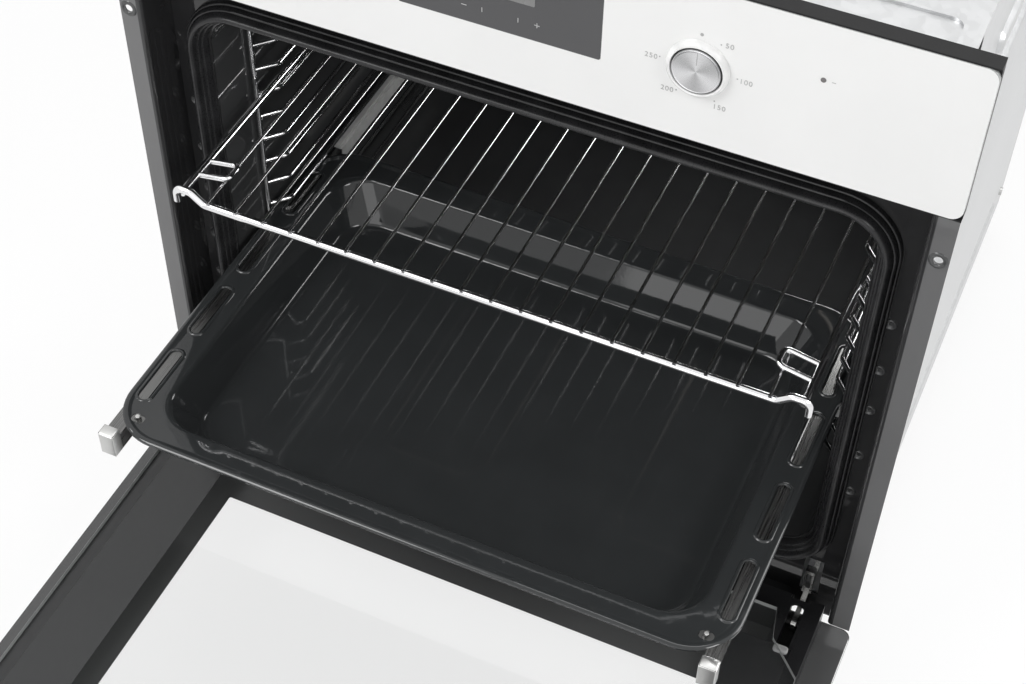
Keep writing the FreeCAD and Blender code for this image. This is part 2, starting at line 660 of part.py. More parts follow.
def make_convection():
    """Fan behind its baffle, with the ring heater and the motor on the rear wall."""
    frame = "cavity_back - baffle_stand"
    baffle = pad(new_body(), "xz", frame, "cavity_back",
                 rounded(("-baffle_half", "baffle_half"), ("baffle_low", "baffle_high"), "baffle_corner"))
    pocket(baffle, "xz", f"{frame} + baffle_gauge", "cavity_back + overcut",
           rounded(("-baffle_half + baffle_gauge", "baffle_half - baffle_gauge"),
                   ("baffle_low + baffle_gauge", "baffle_high - baffle_gauge"),
                   "baffle_corner - baffle_gauge"))
    cut = (baffle, "xz", frame, f"{frame} + baffle_gauge")
    for share, count in ((0.3, 6), (0.6, 12), (0.9, 18)):
        pocket(*cut, circle("0", f"fan_z + fan_radius * {share}", "baffle_hole"))
        fan_axis(baffle, count)
    start = "fan_z - vent_pitch * 5"
    height = (f"{start} - baffle_hole", f"{start} + baffle_hole")
    pocket(*cut, rounded(("baffle_half - 75", "baffle_half - 30"), height, "baffle_hole * 0.8"),
           rounded(("-baffle_half + 30", "-baffle_half + 75"), height, "baffle_hole * 0.8"))
    stepped(baffle, "Z_Axis", "vent_pitch * 2", 6)
    node("fan_baffle", baffle)
    rim_y = "cavity_back - fan_width - 8"
    blades = new_body()
    pad(blades, "xz", "cavity_back - 10", "cavity_back - 8", circle("0", "fan_z", "fan_radius"))
    pad(blades, "xz", rim_y, "cavity_back - 10",
        rectangle(("fan_radius * 0.5", "fan_radius - 2"), ("fan_z - blade_gauge", "fan_z + blade_gauge")))
    fan_axis(blades, 12)
    shaft = rod("y", ("0", "fan_z"), (f"{rim_y} - 6", "liner_back + motor_depth / 2"), "fan_shaft_radius")
    node("fan_blade", fused(blades, shaft))
    motor = rod("y", ("0", "fan_z"), ("liner_back", "liner_back + motor_depth"), "motor_radius")
    bracket = block(("-motor_radius - 20", "motor_radius + 20"), ("liner_back", "liner_back + 3"),
                    ("fan_z - 14", "fan_z + 14"))
    bore = rod("y", ("0", "fan_z"), ("liner_back - overcut", "liner_back + motor_depth / 2 + overcut"),
               "fan_shaft_radius + shaft_play")
    node("fan_motor", without(fused(motor, bracket), bore))
    hoop = doc.addObject("Part::Torus", "hoop")
    hoop.Placement = FreeCAD.Placement(FreeCAD.Vector(), TURNS["y"])
    for prop, formula in (("Radius1", "ring_radius"), ("Radius2", "element_radius"),
                          ("Placement.Base.y", "cavity_back - ring_setback"),
                          ("Placement.Base.z", "fan_z")):
        hoop.setExpression(prop, bound(formula))
    drop = "fan_z - ring_radius"
    ends = [rod("y", (f"{side} * element_bend", drop),
                ("cavity_back - ring_setback", "liner_back + terminal_stub"), "element_radius")
            for side in (-1, 1)]
    bridge = rod("x", ("cavity_back - ring_setback", drop), ("-element_bend", "element_bend"),
                 "element_radius")
    node("ring_element", fused(hoop, bridge, *ends))


def make_heaters():
    """Grill tube under the ceiling and base tube under the cavity floor."""
    rear = value("liner_back + terminal_stub")
    wide = value("grill_half")
    stem = value("element_bend * 1.5")
    back, front = value("baffle_face - 20"), value("frame_back + 60")
    inner = (back - front) * 0.75 + front
    half = [(stem, rear), (stem, back), (wide, back), (wide, front), (wide * 0.4, front),
            (wide * 0.4, inner)]
    route = half + [(-x, y) for x, y in reversed(half)]
    for name, level in (("grill_element", value("element_z")),
                        ("base_element", value("cavity_floor - liner_gauge - seat_gap - element_radius"))):
        points = [FreeCAD.Vector(x, y, level) for x, y in route]
        node(name, shaped(bent_bar(points, value("element_bend"), value("element_radius"))))


def make_lamp():
    """Lamp in the rear wall: glass cap, bulb and holder."""
    place = ("lamp_x", "lamp_z")
    shell = rod("y", place, ("cavity_back - lamp_depth", "cavity_back"), "lamp_radius")
    hollow = rod("y", place, ("cavity_back - lamp_depth + lamp_wall", "cavity_back + overcut"),
                 "lamp_radius - lamp_wall")
    node("lamp_glass", without(shell, hollow))
    node("lamp_bulb", rod("y", place, ("cavity_back - lamp_depth + 6", "liner_back"), "bulb_radius"))
    plug = rod("y", place, ("liner_back", "liner_back + 35"), "lamp_radius - 4")
    brim = rod("y", place, ("liner_back", "liner_back + 2"), "lamp_radius + 4")
    node("lamp_holder", fused(plug, brim))


def make_blower():
    """Cross-flow blower on the duct floor that cools the controls."""
    low = "blower_y - blower_radius - 8"
    high = "blower_y + blower_radius + 8"
    case = block(("-blower_half", "blower_half"), (low, high), ("duct_top", "blower_z + blower_radius + 8"))
    tunnel = rod("x", ("blower_y", "blower_z"), ("-blower_half + blower_wall", "blower_half - blower_wall"),
                 "blower_radius + 4")
    mouth = block(("-blower_half + blower_wall", "blower_half - blower_wall"),
                  (f"{low} - overcut", "blower_y"),
                  ("duct_top + 4", "blower_z - 4"))
    inlet = block(("-blower_half + blower_wall", "blower_half - blower_wall"),
                  ("blower_y + inlet_lead", f"{high} + overcut"),
                  ("blower_z", "blower_z + blower_radius"))
    bore = rod("x", ("blower_y", "blower_z"), ("-blower_half - overcut", "blower_half + overcut"),
               "shaft_radius + shaft_play")
    node("blower_housing", without(case, tunnel, mouth, inlet, bore))
    length = "blower_half - blower_wall - 3"
    discs = [rod("x", ("blower_y", "blower_z"), (f"{side} * ({length}) - blade_gauge",
                                                 f"{side} * ({length}) + blade_gauge"),
                 "blower_radius") for side in (-1, 1)]
    shaft = rod("x", ("blower_y", "blower_z"), ("-blower_half", "blower_half + blower_motor_length / 2"),
                "shaft_radius")
    blades = []
    for step in range(16):
        angle = 2 * math.pi * step / 16
        blades.append(rod("x", (f"blower_y + (blower_radius - 3) * {math.cos(angle):.5f}",
                                f"blower_z + (blower_radius - 3) * {math.sin(angle):.5f}"),
                          (f"-({length})", length), "blade_gauge * 1.5"))
    node("blower_rotor", fused(*discs, shaft, *blades))
    motor = rod("x", ("blower_y", "blower_z"), ("blower_half", "blower_half + blower_motor_length"),
                "blower_radius - 4")
    hole = rod("x", ("blower_y", "blower_z"), ("blower_half - overcut",
                                               "blower_half + blower_motor_length / 2 + overcut"),
               "shaft_radius + shaft_play")
    node("blower_motor", without(motor, hole))


def make_terminal():
    """Mains terminal box on the rear panel, with its cable mouth."""
    left = "-casing_half + 70"
    low = "casing_top - 160"
    box = block((left, f"{left} + terminal_width"), ("rear_y", "rear_y + terminal_depth"),
                (low, f"{low} + terminal_height"))
    mouth = rod("z", (f"{left} + terminal_width / 2", "rear_y + terminal_depth / 2"), 
                (f"{low} - overcut", f"{low} + cable_seat"), "cable_radius")
    node("terminal_box", without(box, mouth))


def make_housing_screws():
    """Screw heads on the side and rear sheets."""
    heads = []
    for high in ("casing_top - 40", "casing_top / 2", "40"):
        for back in ("frame_back + 30", "rear_inner - 30"):
            head = rod("x", (back, high), ("casing_half", "casing_half + screw_head_height"),
                       "screw_head_radius")
            heads += [head, mirrored(head)]
    for high in ("casing_top - 20", "20"):
        head = rod("y", ("casing_half - rear_screw_inset", high), ("rear_y", "rear_y + screw_head_height"),
                   "screw_head_radius")
        heads += [head, mirrored(head)]
    node("housing_screws", group(*heads))


# Side racks and rails

def make_side_racks():
    """Welded wire ladders on the side walls."""
    front = value("flange_y + post_front")
    back = front + value("post_span")
    post_x, guide_x = value("post_x"), value("guide_x")
    lean = value("guide_inset")
    low, pitch = value("guide_low"), value("guide_pitch")
    count = int(value("guide_count"))
    high = low + pitch * (count - 1)
    bars = []
    for y in (front, back):
        bars.append(straight_bar(FreeCAD.Vector(post_x, y, low - pitch),
                                 FreeCAD.Vector(post_x, y, high + pitch),
                                 value("post_radius")))
    for step in range(count):
        z = low + pitch * step
        points = [FreeCAD.Vector(post_x, front, z), FreeCAD.Vector(guide_x, front + lean, z),
                  FreeCAD.Vector(guide_x, back - lean, z), FreeCAD.Vector(post_x, back, z)]
        bars.append(bent_bar(points, value("guide_radius * 3"), value("guide_radius")))
    right = shaped(welded(bars))
    node("side_rack_right", right)
    node("side_rack_left", mirrored(right))


def make_rails():
    """Telescopic rails: fixed channel, middle member and slide with its end cap and tray pin."""
    outer = "rail_half + rail_width"
    web = "rail_half + rail_wall"
    middle_in = f"{web} + rail_play"
    middle_out = f"{middle_in} + rail_core"
    channel_in = f"{middle_out} + rail_play"
    low, high = "rail_z", "rail_z + rail_height"
    end = "channel_front + rail_length"
    bar = block((channel_in, outer), ("channel_front", end), (low, high))
    hollow = block((f"{channel_in} - overcut", f"{outer} - rail_wall"),
                   ("channel_front - overcut", f"{end} + overcut"),
                   (f"{low} + rail_wall", f"{high} - rail_wall"))
    clips = []
    for y in ("flange_y + post_front", "flange_y + post_front + post_span"):
        clips.append(block((f"{outer} - rail_wall", "post_x - post_radius - seat_gap"),
                           (f"{y} - clip_half", f"{y} + clip_half"),
                           (f"{low} + clip_low", f"{high} - clip_drop")))
    channel = fused(without(bar, hollow), *clips)
    node("rail_channels", pair(channel))
    shift = "rail_travel / 2"
    core = block((middle_in, middle_out), (f"channel_front - {shift}", f"{end} - {shift}"),
                 (f"{low} + rail_core_margin", f"{high} - rail_core_margin"))
    node("rail_middles", pair(core))
    tail = "slide_front + rail_length"
    side = block(("rail_half", web), ("slide_front + rail_cap", tail), (low, "rail_top"))
    roof = block(("rail_half", outer), ("slide_front + rail_cap", tail),
                 (f"{high} + rail_play", "rail_top"))
    cap = block(("rail_half", outer), ("slide_front", "slide_front + rail_cap"),
                (low, "rail_top + rail_cap_rise"))
    tab = block(("pin_x - 5", "rail_half"), ("tray_front + pin_setback - 5",
                                             "tray_front + pin_setback + 5"),
                ("rail_top - rail_wall", "rail_top"))
    pin = rod("z", ("pin_x", "tray_front + pin_setback"), ("rail_top - rail_wall", "rail_top + pin_rise"),
              "pin_radius")
    slide = fused(side, roof, cap, tab, pin)
    node("rail_slide_right", slide)
    node("rail_slide_left", mirrored(slide))


# Tray and wire rack

def make_tray():
    """Deep enamelled tray: flat slotted rim with a turned lip, and a well with sloping walls."""
    rim_top = "tray_rim_z + tray_gauge"
    x = ("-tray_half", "tray_half")
    y = ("tray_front", "tray_back")

    def inset(distance):
        return ((f"{x[0]} + {distance}", f"{x[1]} - ({distance})"),
                (f"{y[0]} + {distance}", f"{y[1]} - ({distance})"))

    def well(gauge, sink):
        side = f"tray_rim - ({gauge}) + ({sink})"
        ends = f"tray_front_rim - ({gauge}) + ({sink})"
        return rounded((f"{x[0]} + {side}", f"{x[1]} - ({side})"),
                       (f"{y[0]} + {ends}", f"{y[1]} - ({ends})"),
                       f"tray_corner - 8 + ({gauge})")

    tray = pad(new_body(), "xy", "tray_rim_z", rim_top, rounded(x, y, "tray_corner"))
    pad(tray, "xy", "tray_rim_z - tray_lip", rim_top, rounded(x, y, "tray_corner"),
        rounded(*inset("tray_gauge"), "tray_corner - tray_gauge"))
    floor = "tray_rim_z - tray_depth"
    loft(tray, "Additive", (floor, well("tray_gauge", "tray_draft")), (rim_top, well("tray_gauge", "0")))
    loft(tray, "Subtractive", (f"{floor} + tray_gauge", well("0", "tray_draft")),
         (f"{rim_top} + 0.01", well("0", "0")))
    cuts = []
    for side in (-1, 1):
        middle = f"{side} * (tray_half - tray_slot_inset)"
        for step in range(int(value("tray_slot_count"))):
            start = f"tray_front + tray_slot_start + tray_slot_pitch * {step}"
            cuts.append(rounded((f"{middle} - tray_slot_width / 2", f"{middle} + tray_slot_width / 2"),
                                (start, f"{start} + tray_slot_length"), "tray_slot_width * 0.45"))
        cuts.append(circle(f"{side} * pin_x", "tray_front + pin_setback", "pin_radius + pin_play"))
    pocket(tray, "xy", "tray_rim_z - overcut", f"{rim_top} + overcut", *cuts)
    notch = ("rail_half - notch_margin", "rail_half + rail_width + notch_margin")
    pocket(tray, "xy", "tray_rim_z - tray_lip - overcut", "tray_rim_z",
           rectangle(notch, (f"{y[0]} - overcut", f"{y[1]} + overcut")),
           rectangle((f"-({notch[1]})", f"-({notch[0]})"), (f"{y[0]} - overcut", f"{y[1]} + overcut")))
    node("baking_tray", tray)


def make_rack():
    """Wire rack: thick frame with hooked ears and stop loops, and thin wires along it."""
    front, z = value("rack_front"), value("rack_z")
    back = front + value("rack_length")
    side = value("rack_side")
    ear, bend = value("rack_ear"), value("rack_ear_bend")
    thick, thin = value("rack_bar_radius"), value("rack_wire_radius")
    half = side - value("rack_wire_pitch")
    drop = z - thick - thin - value("rack_wire_gap")
    half_bar = [FreeCAD.Vector(half + value("rack_ear") / 2, front, drop),
                FreeCAD.Vector(side - ear, front, z + ear / 2),
                FreeCAD.Vector(side + ear / 2, front, z + ear / 2),
                FreeCAD.Vector(side + ear / 2, front, z - ear)]
    front_bar = [FreeCAD.Vector(-p.x, p.y, p.z) for p in reversed(half_bar)] + half_bar
    bars = [bent_bar(front_bar, bend * 0.8, thick)]
    u_bar = [FreeCAD.Vector(side, front, z), FreeCAD.Vector(side, back, z),
             FreeCAD.Vector(-side, back, z), FreeCAD.Vector(-side, front, z)]
    bars.append(bent_bar(u_bar, bend * 2, thick))
    stop_y = front + value("rack_stop_setback")
    reach, lift = value("rack_stop_length"), value("rack_stop_lift")
    for sign in (-1, 1):
        outer, inner = sign * side, sign * (half - value("rack_stop_overlap"))
        loop = [FreeCAD.Vector(outer, stop_y, z), FreeCAD.Vector(inner, stop_y, z + lift),
                FreeCAD.Vector(inner, stop_y + reach, z + lift), FreeCAD.Vector(outer, stop_y + reach, z)]
        bars.append(bent_bar(loop, bend * 0.7, thick * 0.7))
    node("rack_frame", shaped(welded(bars)))
    wires = []
    count = int(value("rack_wire_count"))
    for step in range(count):
        x = (step - (count - 1) / 2) * value("rack_wire_pitch")
        start = FreeCAD.Vector(x, front - thick, z)
        end = FreeCAD.Vector(x, back - thick - value("rack_wire_gap"), z)
        wires.append(straight_bar(start, end, thin))
    node("rack_wires", shaped(Part.makeCompound(wires)))


# Door, lying open

def make_door_glass():
    """Outer, middle and inner panes."""
    outer = pad(new_body(), "xy", "door_under", "core_low",
                rounded(("-panel_half", "panel_half"), (up("door_top"), up("door_bottom")), "door_corner"))
    node("door_outer_glass", outer)
    middle = "door_under + middle_level"
    node("door_middle_glass", pad(new_body(), "xy", middle, f"{middle} + middle_gauge",
                                  rectangle(("-column_x + door_clearance", "column_x - door_clearance"),
                                            (up("door_top - pane_drop - door_trim - door_clearance"),
                                             up("hinge_foot + hinge_length + 10")))))
    half = [("pane_half", up("door_top - pane_drop")), ("pane_half", up("pane_notch_high")),
            ("pane_notch_x", up("pane_notch_low")), ("pane_notch_x - pane_skew", up("pane_low"))]
    outline = half + [(f"-({x})", y) for x, y in reversed(half)]
    node("door_inner_glass", pad(new_body(), "xy", "core_high", "door_over", polygon(*outline)))


def make_door_frame():
    """Side columns, top trim and bottom rail that carry the panes."""
    top = "door_top - pane_drop"
    column = block(("column_x", "pane_half"), (up(f"{top} - door_trim - door_clearance"), up("hinge_foot")),
                   ("core_low", "core_high"))
    groove = block(("column_x - overcut", "column_x + column_width / 2"),
                   (up(top), up("hinge_foot + 20")), ("core_low + 3", "core_high - 3"))
    hollow = without(column, groove)
    node("door_column_right", hollow)
    node("door_column_left", mirrored(hollow))
    trim = block(("-pane_half", "pane_half"), (up(top), up(f"{top} - door_trim")),
                 ("core_low", "core_high"))
    vent = [block((f"trim_vent_pitch * {step} - trim_vent_length / 2",
                   f"trim_vent_pitch * {step} + trim_vent_length / 2"),
                  (up(f"{top} + overcut"), up(f"{top} - door_trim - overcut")),
                  ("core_low + 6", "core_high - 6")) for step in (-1.5, -0.5, 0.5, 1.5)]
    node("door_top_trim", without(trim, *vent))
    inner = "hinge_x - hinge_width / 2 - door_clearance"
    rail = block((f"-({inner})", inner), (up("hinge_foot + bottom_rail_height"), up("hinge_foot")),
                 ("core_low", "core_high"))
    lighten = block((f"-({inner}) + 3", f"{inner} - 3"),
                    (up("hinge_foot + bottom_rail_height - 3"), up("hinge_foot - overcut")),
                    ("core_low + 3", "core_high - 3"))
    node("door_bottom_rail", without(rail, lighten))
    screws = []
    for place in ("hinge_foot + hinge_length + door_screw_lead", "door_top - door_screw_inset"):
        screws.append(pair(rod("x", (up(place), "(core_low + core_high) / 2"),
                               ("pane_half", "pane_half + screw_head_height * 0.8"), "screw_head_radius")))
    node("door_screws", group(*screws))


def make_handle():
    """Bar handle on two posts, on the outer face."""
    y = up("handle_height")
    bar = rod("x", (y, "handle_z"), ("-handle_half", "handle_half"), "handle_radius")
    ends = doc.addObject("Part::Fillet", "bar_ends")
    doc.recompute()
    ends.Base = bar
    ends.Edges = [(place, value("handle_radius / 3"), value("handle_radius / 3"))
                  for place, edge in enumerate(bar.Shape.Edges, start=1)
                  if edge.Closed and len(edge.Vertexes) == 1]
    posts = [rod("z", (f"{side} * handle_post_x", y), ("handle_z", "door_under"), "handle_post_radius")
             for side in (-1, 1)]
    node("door_handle", fused(ends, *posts))


def make_hinges():
    """Hinge channel and pin in the door, arm and receiver on the frame, and the lock lever."""
    left, right = "hinge_x - hinge_width / 2", "hinge_x + hinge_width / 2"
    back, front = up("hinge_foot + hinge_length"), up("hinge_foot")
    gap = "door_clearance"
    cheeks = [block((left, f"{left} + hinge_wall"), (back, front),
                    (f"core_low + {gap}", f"core_high - {gap}")),
              block((f"{right} - hinge_wall", right), (back, front),
                    (f"core_low + {gap}", f"core_high - {gap}"))]
    floor = block((left, right), (back, front), (f"core_low + {gap}", f"core_low + {gap} + hinge_wall"))
    pin = rod("x", ("hinge_y", "hinge_height"), (left, right), "pin_size")
    channel = fused(*cheeks, floor, pin)
    node("hinge_channels", pair(channel))
    arm_x = ("hinge_x - arm_gauge / 2", "hinge_x + arm_gauge / 2")
    arm_end = "frame_back + arm_reach"
    low, high = "hinge_height - arm_height / 2", "hinge_height + arm_height / 2"
    shank = block(arm_x, ("hinge_y", arm_end), (low, high))
    eye = rod("x", ("hinge_y", "hinge_height"), arm_x, "arm_eye")
    hook = block(arm_x, (f"{arm_end} - 10", arm_end), (low, f"{high} + arm_hook"))
    bore = rod("x", ("hinge_y", "hinge_height"), (f"{arm_x[0]} - overcut", f"{arm_x[1]} + overcut"),
               "pin_size + shaft_play")
    lock_y, lock_z = "face_y - lock_setback", f"{high} + lock_rise"
    stem = block(arm_x, (f"{lock_y} - 3", f"{lock_y} + 3"), (high, f"{lock_z} + 3"))
    lock_bore = rod("x", (lock_y, lock_z), (f"{arm_x[0]} - overcut", f"{arm_x[1]} + overcut"),
                    "lock_pin_radius + shaft_play")
    node("hinge_arms", pair(without(fused(shank, eye, hook, stem), bore, lock_bore)))
    wall = "receiver_wall"
    outer_x = (f"hinge_x - hinge_width / 2 - {wall}", f"hinge_x + hinge_width / 2 + {wall}")
    start = "frame_back + casing_gauge"
    box = block(outer_x, (start, f"{arm_end} + {wall}"), (f"{low} - {wall} - seat_gap", "slot_high + 4"))
    room = block((f"{outer_x[0]} + {wall}", f"{outer_x[1]} - {wall}"),
                 (f"{start} - overcut", f"{arm_end} + seat_gap"),
                 (f"{low} - seat_gap", "slot_high"))
    ledge = block((f"{arm_x[0]} - overcut", f"{arm_x[1]} + overcut"),
                  (f"{arm_end} - 9", f"{arm_end} + seat_gap"),
                  (f"{high} + arm_hook + seat_gap", "slot_high"))
    node("hinge_receivers", pair(fused(without(box, room), ledge)))
    cheek = f"{arm_x[1]} + seat_gap"
    flaps = [block((cheek, f"{cheek} + lock_gauge"), (f"{lock_y} - 3", f"{lock_y} + 3"),
                   (f"{lock_z} - 3", f"{lock_z} + lock_length")),
             block((f"{arm_x[0]} - seat_gap - lock_gauge", f"{arm_x[0]} - seat_gap"),
                   (f"{lock_y} - 3", f"{lock_y} + 3"), (f"{lock_z} - 3", f"{lock_z} + lock_length"))]
    cross = block((f"{arm_x[0]} - seat_gap - lock_gauge", f"{cheek} + lock_gauge"),
                  (f"{lock_y} - bail_half", f"{lock_y} + bail_half"),
                  (f"{lock_z} + lock_length - bail_height", f"{lock_z} + lock_length"))
    lock_pin = rod("x", (lock_y, lock_z), (f"{arm_x[0]} - seat_gap - lock_gauge", f"{cheek} + lock_gauge"),
                   "lock_pin_radius")
    lock = fused(*flaps, cross, lock_pin)
    node("hinge_lock_right", lock)
    node("hinge_lock_left", mirrored(lock))


make_front_frame()
make_gasket()
make_casing()
make_cavity()
make_control_panel()
make_control(1, ("temperature_collar", "temperature_knob", "temperature_shaft", "thermostat"))
make_control(-1, ("function_collar", "function_knob", "function_shaft", "function_switch"))
make_convection()
make_heaters()
make_lamp()
make_blower()
make_terminal()
make_housing_screws()
make_side_racks()
make_rails()
make_tray()
make_rack()
make_door_glass()
make_door_frame()
make_handle()
make_hinges()

doc.recompute()
for item in doc.Objects:
    for fault in ("Invalid", "Error"):
        if fault in item.State:
            raise RuntimeError(f"{item.Name} ({item.Label}) is {fault}")
for name, item in nodes.items():
    if item.Shape.isNull() or not item.Shape.isValid():
        raise RuntimeError(f"{name} has no valid shape")

os.makedirs("parts", exist_ok=True)
for name, item in nodes.items():
    item.Shape.exportStep(f"parts/{name}.step")
    solids = len(item.Shape.Solids)
    print(f"{name}: {solids} solids, {item.Shape.Volume / 1000:.1f} cm3")
print(len(nodes), "sub-parts")
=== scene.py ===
import json
import math

import bmesh
import bpy
from bpy.props import FloatProperty, FloatVectorProperty, IntProperty, PointerProperty
from mathutils import Matrix, Vector


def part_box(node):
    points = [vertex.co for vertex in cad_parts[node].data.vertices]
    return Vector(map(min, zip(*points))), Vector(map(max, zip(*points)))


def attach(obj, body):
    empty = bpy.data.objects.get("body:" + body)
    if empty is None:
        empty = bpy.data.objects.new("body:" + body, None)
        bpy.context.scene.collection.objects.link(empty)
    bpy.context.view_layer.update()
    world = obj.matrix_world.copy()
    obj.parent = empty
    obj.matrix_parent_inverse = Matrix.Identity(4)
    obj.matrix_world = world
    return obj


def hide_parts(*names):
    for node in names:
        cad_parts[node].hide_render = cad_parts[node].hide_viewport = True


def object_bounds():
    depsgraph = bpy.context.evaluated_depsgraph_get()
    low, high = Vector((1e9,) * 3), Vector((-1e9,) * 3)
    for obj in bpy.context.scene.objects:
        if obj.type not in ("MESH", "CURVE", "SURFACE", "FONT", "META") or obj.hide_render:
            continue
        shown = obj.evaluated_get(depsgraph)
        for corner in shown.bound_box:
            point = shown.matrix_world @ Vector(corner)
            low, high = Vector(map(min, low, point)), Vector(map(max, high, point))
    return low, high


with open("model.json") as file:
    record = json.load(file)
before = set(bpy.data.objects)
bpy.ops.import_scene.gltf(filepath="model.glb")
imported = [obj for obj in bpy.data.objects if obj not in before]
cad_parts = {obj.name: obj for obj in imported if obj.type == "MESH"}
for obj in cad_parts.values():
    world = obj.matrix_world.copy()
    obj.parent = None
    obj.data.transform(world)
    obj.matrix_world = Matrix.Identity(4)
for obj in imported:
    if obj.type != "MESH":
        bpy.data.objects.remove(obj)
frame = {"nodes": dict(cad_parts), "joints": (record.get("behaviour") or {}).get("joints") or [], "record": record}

bl_info = {
    "name": "Built-in Oven Dressing",
    "version": (1, 0, 0),
    "blender": (4, 5, 0),
    "location": "View3D > Sidebar > Oven",
    "description": "Dresses the packed oven with finishes, printed signs, tray, gasket and knobs",
    "category": "Object",
}

CAD_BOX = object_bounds()
MM = 0.001
ORIGIN = (0.0, 0.0, 0.0)
SIDES = {"left": -1, "right": 1}
# Vertices of a CAD mesh that are nearer than this are one
WELD = 0.000002
# Turns of a piece that was modelled lying flat, in degrees
UPWARD = (0.0, 0.0, 0.0)
FORWARD = (90.0, 0.0, 0.0)
REARWARD = (-90.0, 0.0, 0.0)
# Angles under which faces are smoothed, in degrees
CRISP, EVEN, SOFT = 30.0, 40.0, 50.0


def corners(name):
    """Lowest and highest corner of a CAD node, as vectors."""
    low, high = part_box(name)
    return Vector(low), Vector(high)


def centre_of(name):
    """Middle of a CAD node's box."""
    low, high = corners(name)
    return (low + high) / 2


PANEL_FRONT = corners("control_panel_glass")[0].y
# Place of the cavity's light, before its lamp glass
CAVITY_LIGHT = centre_of("lamp_glass") + Vector((-0.02, -0.07, 0.0))


# Sizes and colours that a user would change

def length(name, description, default):
    """A size in metres."""
    return FloatProperty(name=name, description=description, default=default, unit="LENGTH", precision=5)


def colour(name, description, default):
    """A surface colour."""
    return FloatVectorProperty(name=name, description=description, default=default, subtype="COLOR",
                               size=3, min=0.0, max=1.0)


class OvenSizes(bpy.types.PropertyGroup):
    """Sizes of the pieces that the dressing adds."""

    flange_setback: length("Flange setback", "From the panel's face back to the screw flange", 0.017)
    flange_edge: length("Flange edge", "From the oven's middle to the grey of the flange", 0.2822)
    print_gauge: length("Print gauge", "Thickness of printed signs and borders", 0.00015)
    numeral_height: length("Numeral height", "Height of the dial's numbers", 0.0036)
    dial_radius: length("Dial radius", "From the knob's axis to the dial's dots", 0.0242)
    dot_radius: length("Dot radius", "Radius of the dial's small dots", 0.0005)
    tray_gauge: length("Tray gauge", "Thickness of the tray's sheet", 0.001)
    slot_length: length("Slot length", "Length of the slots in the tray's rim", 0.052)
    slot_width: length("Slot width", "Width of the slots in the tray's rim", 0.009)
    slot_pitch: length("Slot pitch", "Distance between slots along the rim", 0.073)
    slot_start: length("Slot start", "From the tray's front edge to the first slot", 0.035)
    slot_inset: length("Slot inset", "From the tray's side edge to the slots' middle", 0.0125)
    pin_offset: length("Pin offset", "From the oven's middle to the tray's locating pins", 0.2205)
    pin_setback: length("Pin setback", "From the tray's front edge to the pins", 0.018)
    window_half: length("Window half width", "Half width of the door's clear window", 0.209)
    border_half: length("Border half width", "Half width inside the inner pane's print", 0.2147)
    window_start: length("Window start", "Height on the closed door where the window starts", 0.095)
    window_end: length("Window end", "From the door's top down to the window", 0.075)
    corner_steps: IntProperty(name="Corner steps", description="Edges round each quarter turn",
                              default=12, min=3, max=32)


class OvenColours(bpy.types.PropertyGroup):
    """Colours of the finishes."""

    white: colour("White", "Glass panel, collars", (0.785, 0.785, 0.78))
    enamel: colour("Enamel", "Cavity", (0.055, 0.056, 0.057))
    tray: colour("Tray", "Tray's enamel", (0.027, 0.029, 0.03))
    frame_black: colour("Frame", "Front frame's face", (0.028, 0.028, 0.029))
    flange_grey: colour("Flange", "Screw flange", (0.14, 0.14, 0.142))
    black: colour("Black", "Door's plastic and black print", (0.012, 0.012, 0.013))
    charcoal: colour("Charcoal", "Plastic carriers", (0.012, 0.012, 0.0125))
    silicone: colour("Silicone", "Door gasket", (0.018, 0.018, 0.019))
    steel: colour("Steel", "Galvanised casing", (0.6, 0.605, 0.61))
    chrome: colour("Chrome", "Racks and bright wire", (0.83, 0.83, 0.84))
    zinc: colour("Zinc", "Rails, hinges and screws", (0.62, 0.62, 0.61))
    knob: colour("Knobs", "Turned faces of the knobs", (0.66, 0.66, 0.67))
    sign: colour("Signs", "Printed signs", (0.38, 0.38, 0.38))
    window: colour("Window", "Clock window", (0.065, 0.065, 0.068))


class OvenView(bpy.types.PropertyGroup):
    """The camera's place and turn."""

    place: FloatVectorProperty(name="Place", description="Where the camera stands", subtype="XYZ", size=3,
                               unit="LENGTH", default=(0.36532, -1.12178, 1.21489))
    yaw: FloatProperty(name="Yaw", description="Turn to the left", subtype="ANGLE", default=0.408926)
    pitch: FloatProperty(name="Pitch", description="Tilt down", subtype="ANGLE", default=0.832808)
    roll: FloatProperty(name="Roll", description="Turn about the view", subtype="ANGLE", default=0.023105)
    lens: FloatProperty(name="Lens", description="Focal length in mm", default=63.842)
    sensor: FloatProperty(name="Sensor", description="Width of the sensor in mm", default=36.0)


# Materials

def feed(tree, socket, source):
    """Link a socket to another one, or set its steady value."""
    if isinstance(source, bpy.types.NodeSocket):
        tree.links.new(source, socket)
    else:
        socket.default_value = source


def add_node(tree, kind, **sources):
    """A node whose inputs are fed by label."""
    node = tree.nodes.new(kind)
    for label, source in sources.items():
        feed(tree, node.inputs[label.replace("_", " ")], source)
    return node


def operation(tree, kind, name, *sources):
    """A math node fed with sockets and steady values."""
    node = tree.nodes.new(kind)
    node.operation = name
    for socket, source in zip(node.inputs, sources):
        feed(tree, socket, source)
    return node


def own_place(tree):
    """The piece's own coordinates."""
    return tree.nodes.new("ShaderNodeTexCoord").outputs["Object"]


def surface_input(material, label, source):
    """Feed one socket of the material's shader."""
    shader = material.node_tree.nodes["Principled BSDF"]
    feed(material.node_tree, shader.inputs[label], source)


def plain_finish(name, base, roughness, metallic=0.0, **sockets):
    """A material with its steady values on the shader's own sockets."""
    material = bpy.data.materials.new(name)
    material.use_nodes = True
    surface_input(material, "Base Color", (*base, 1.0))
    surface_input(material, "Roughness", roughness)
    surface_input(material, "Metallic", metallic)
    for label, number in sockets.items():
        surface_input(material, label.replace("_", " "), number)
    return material


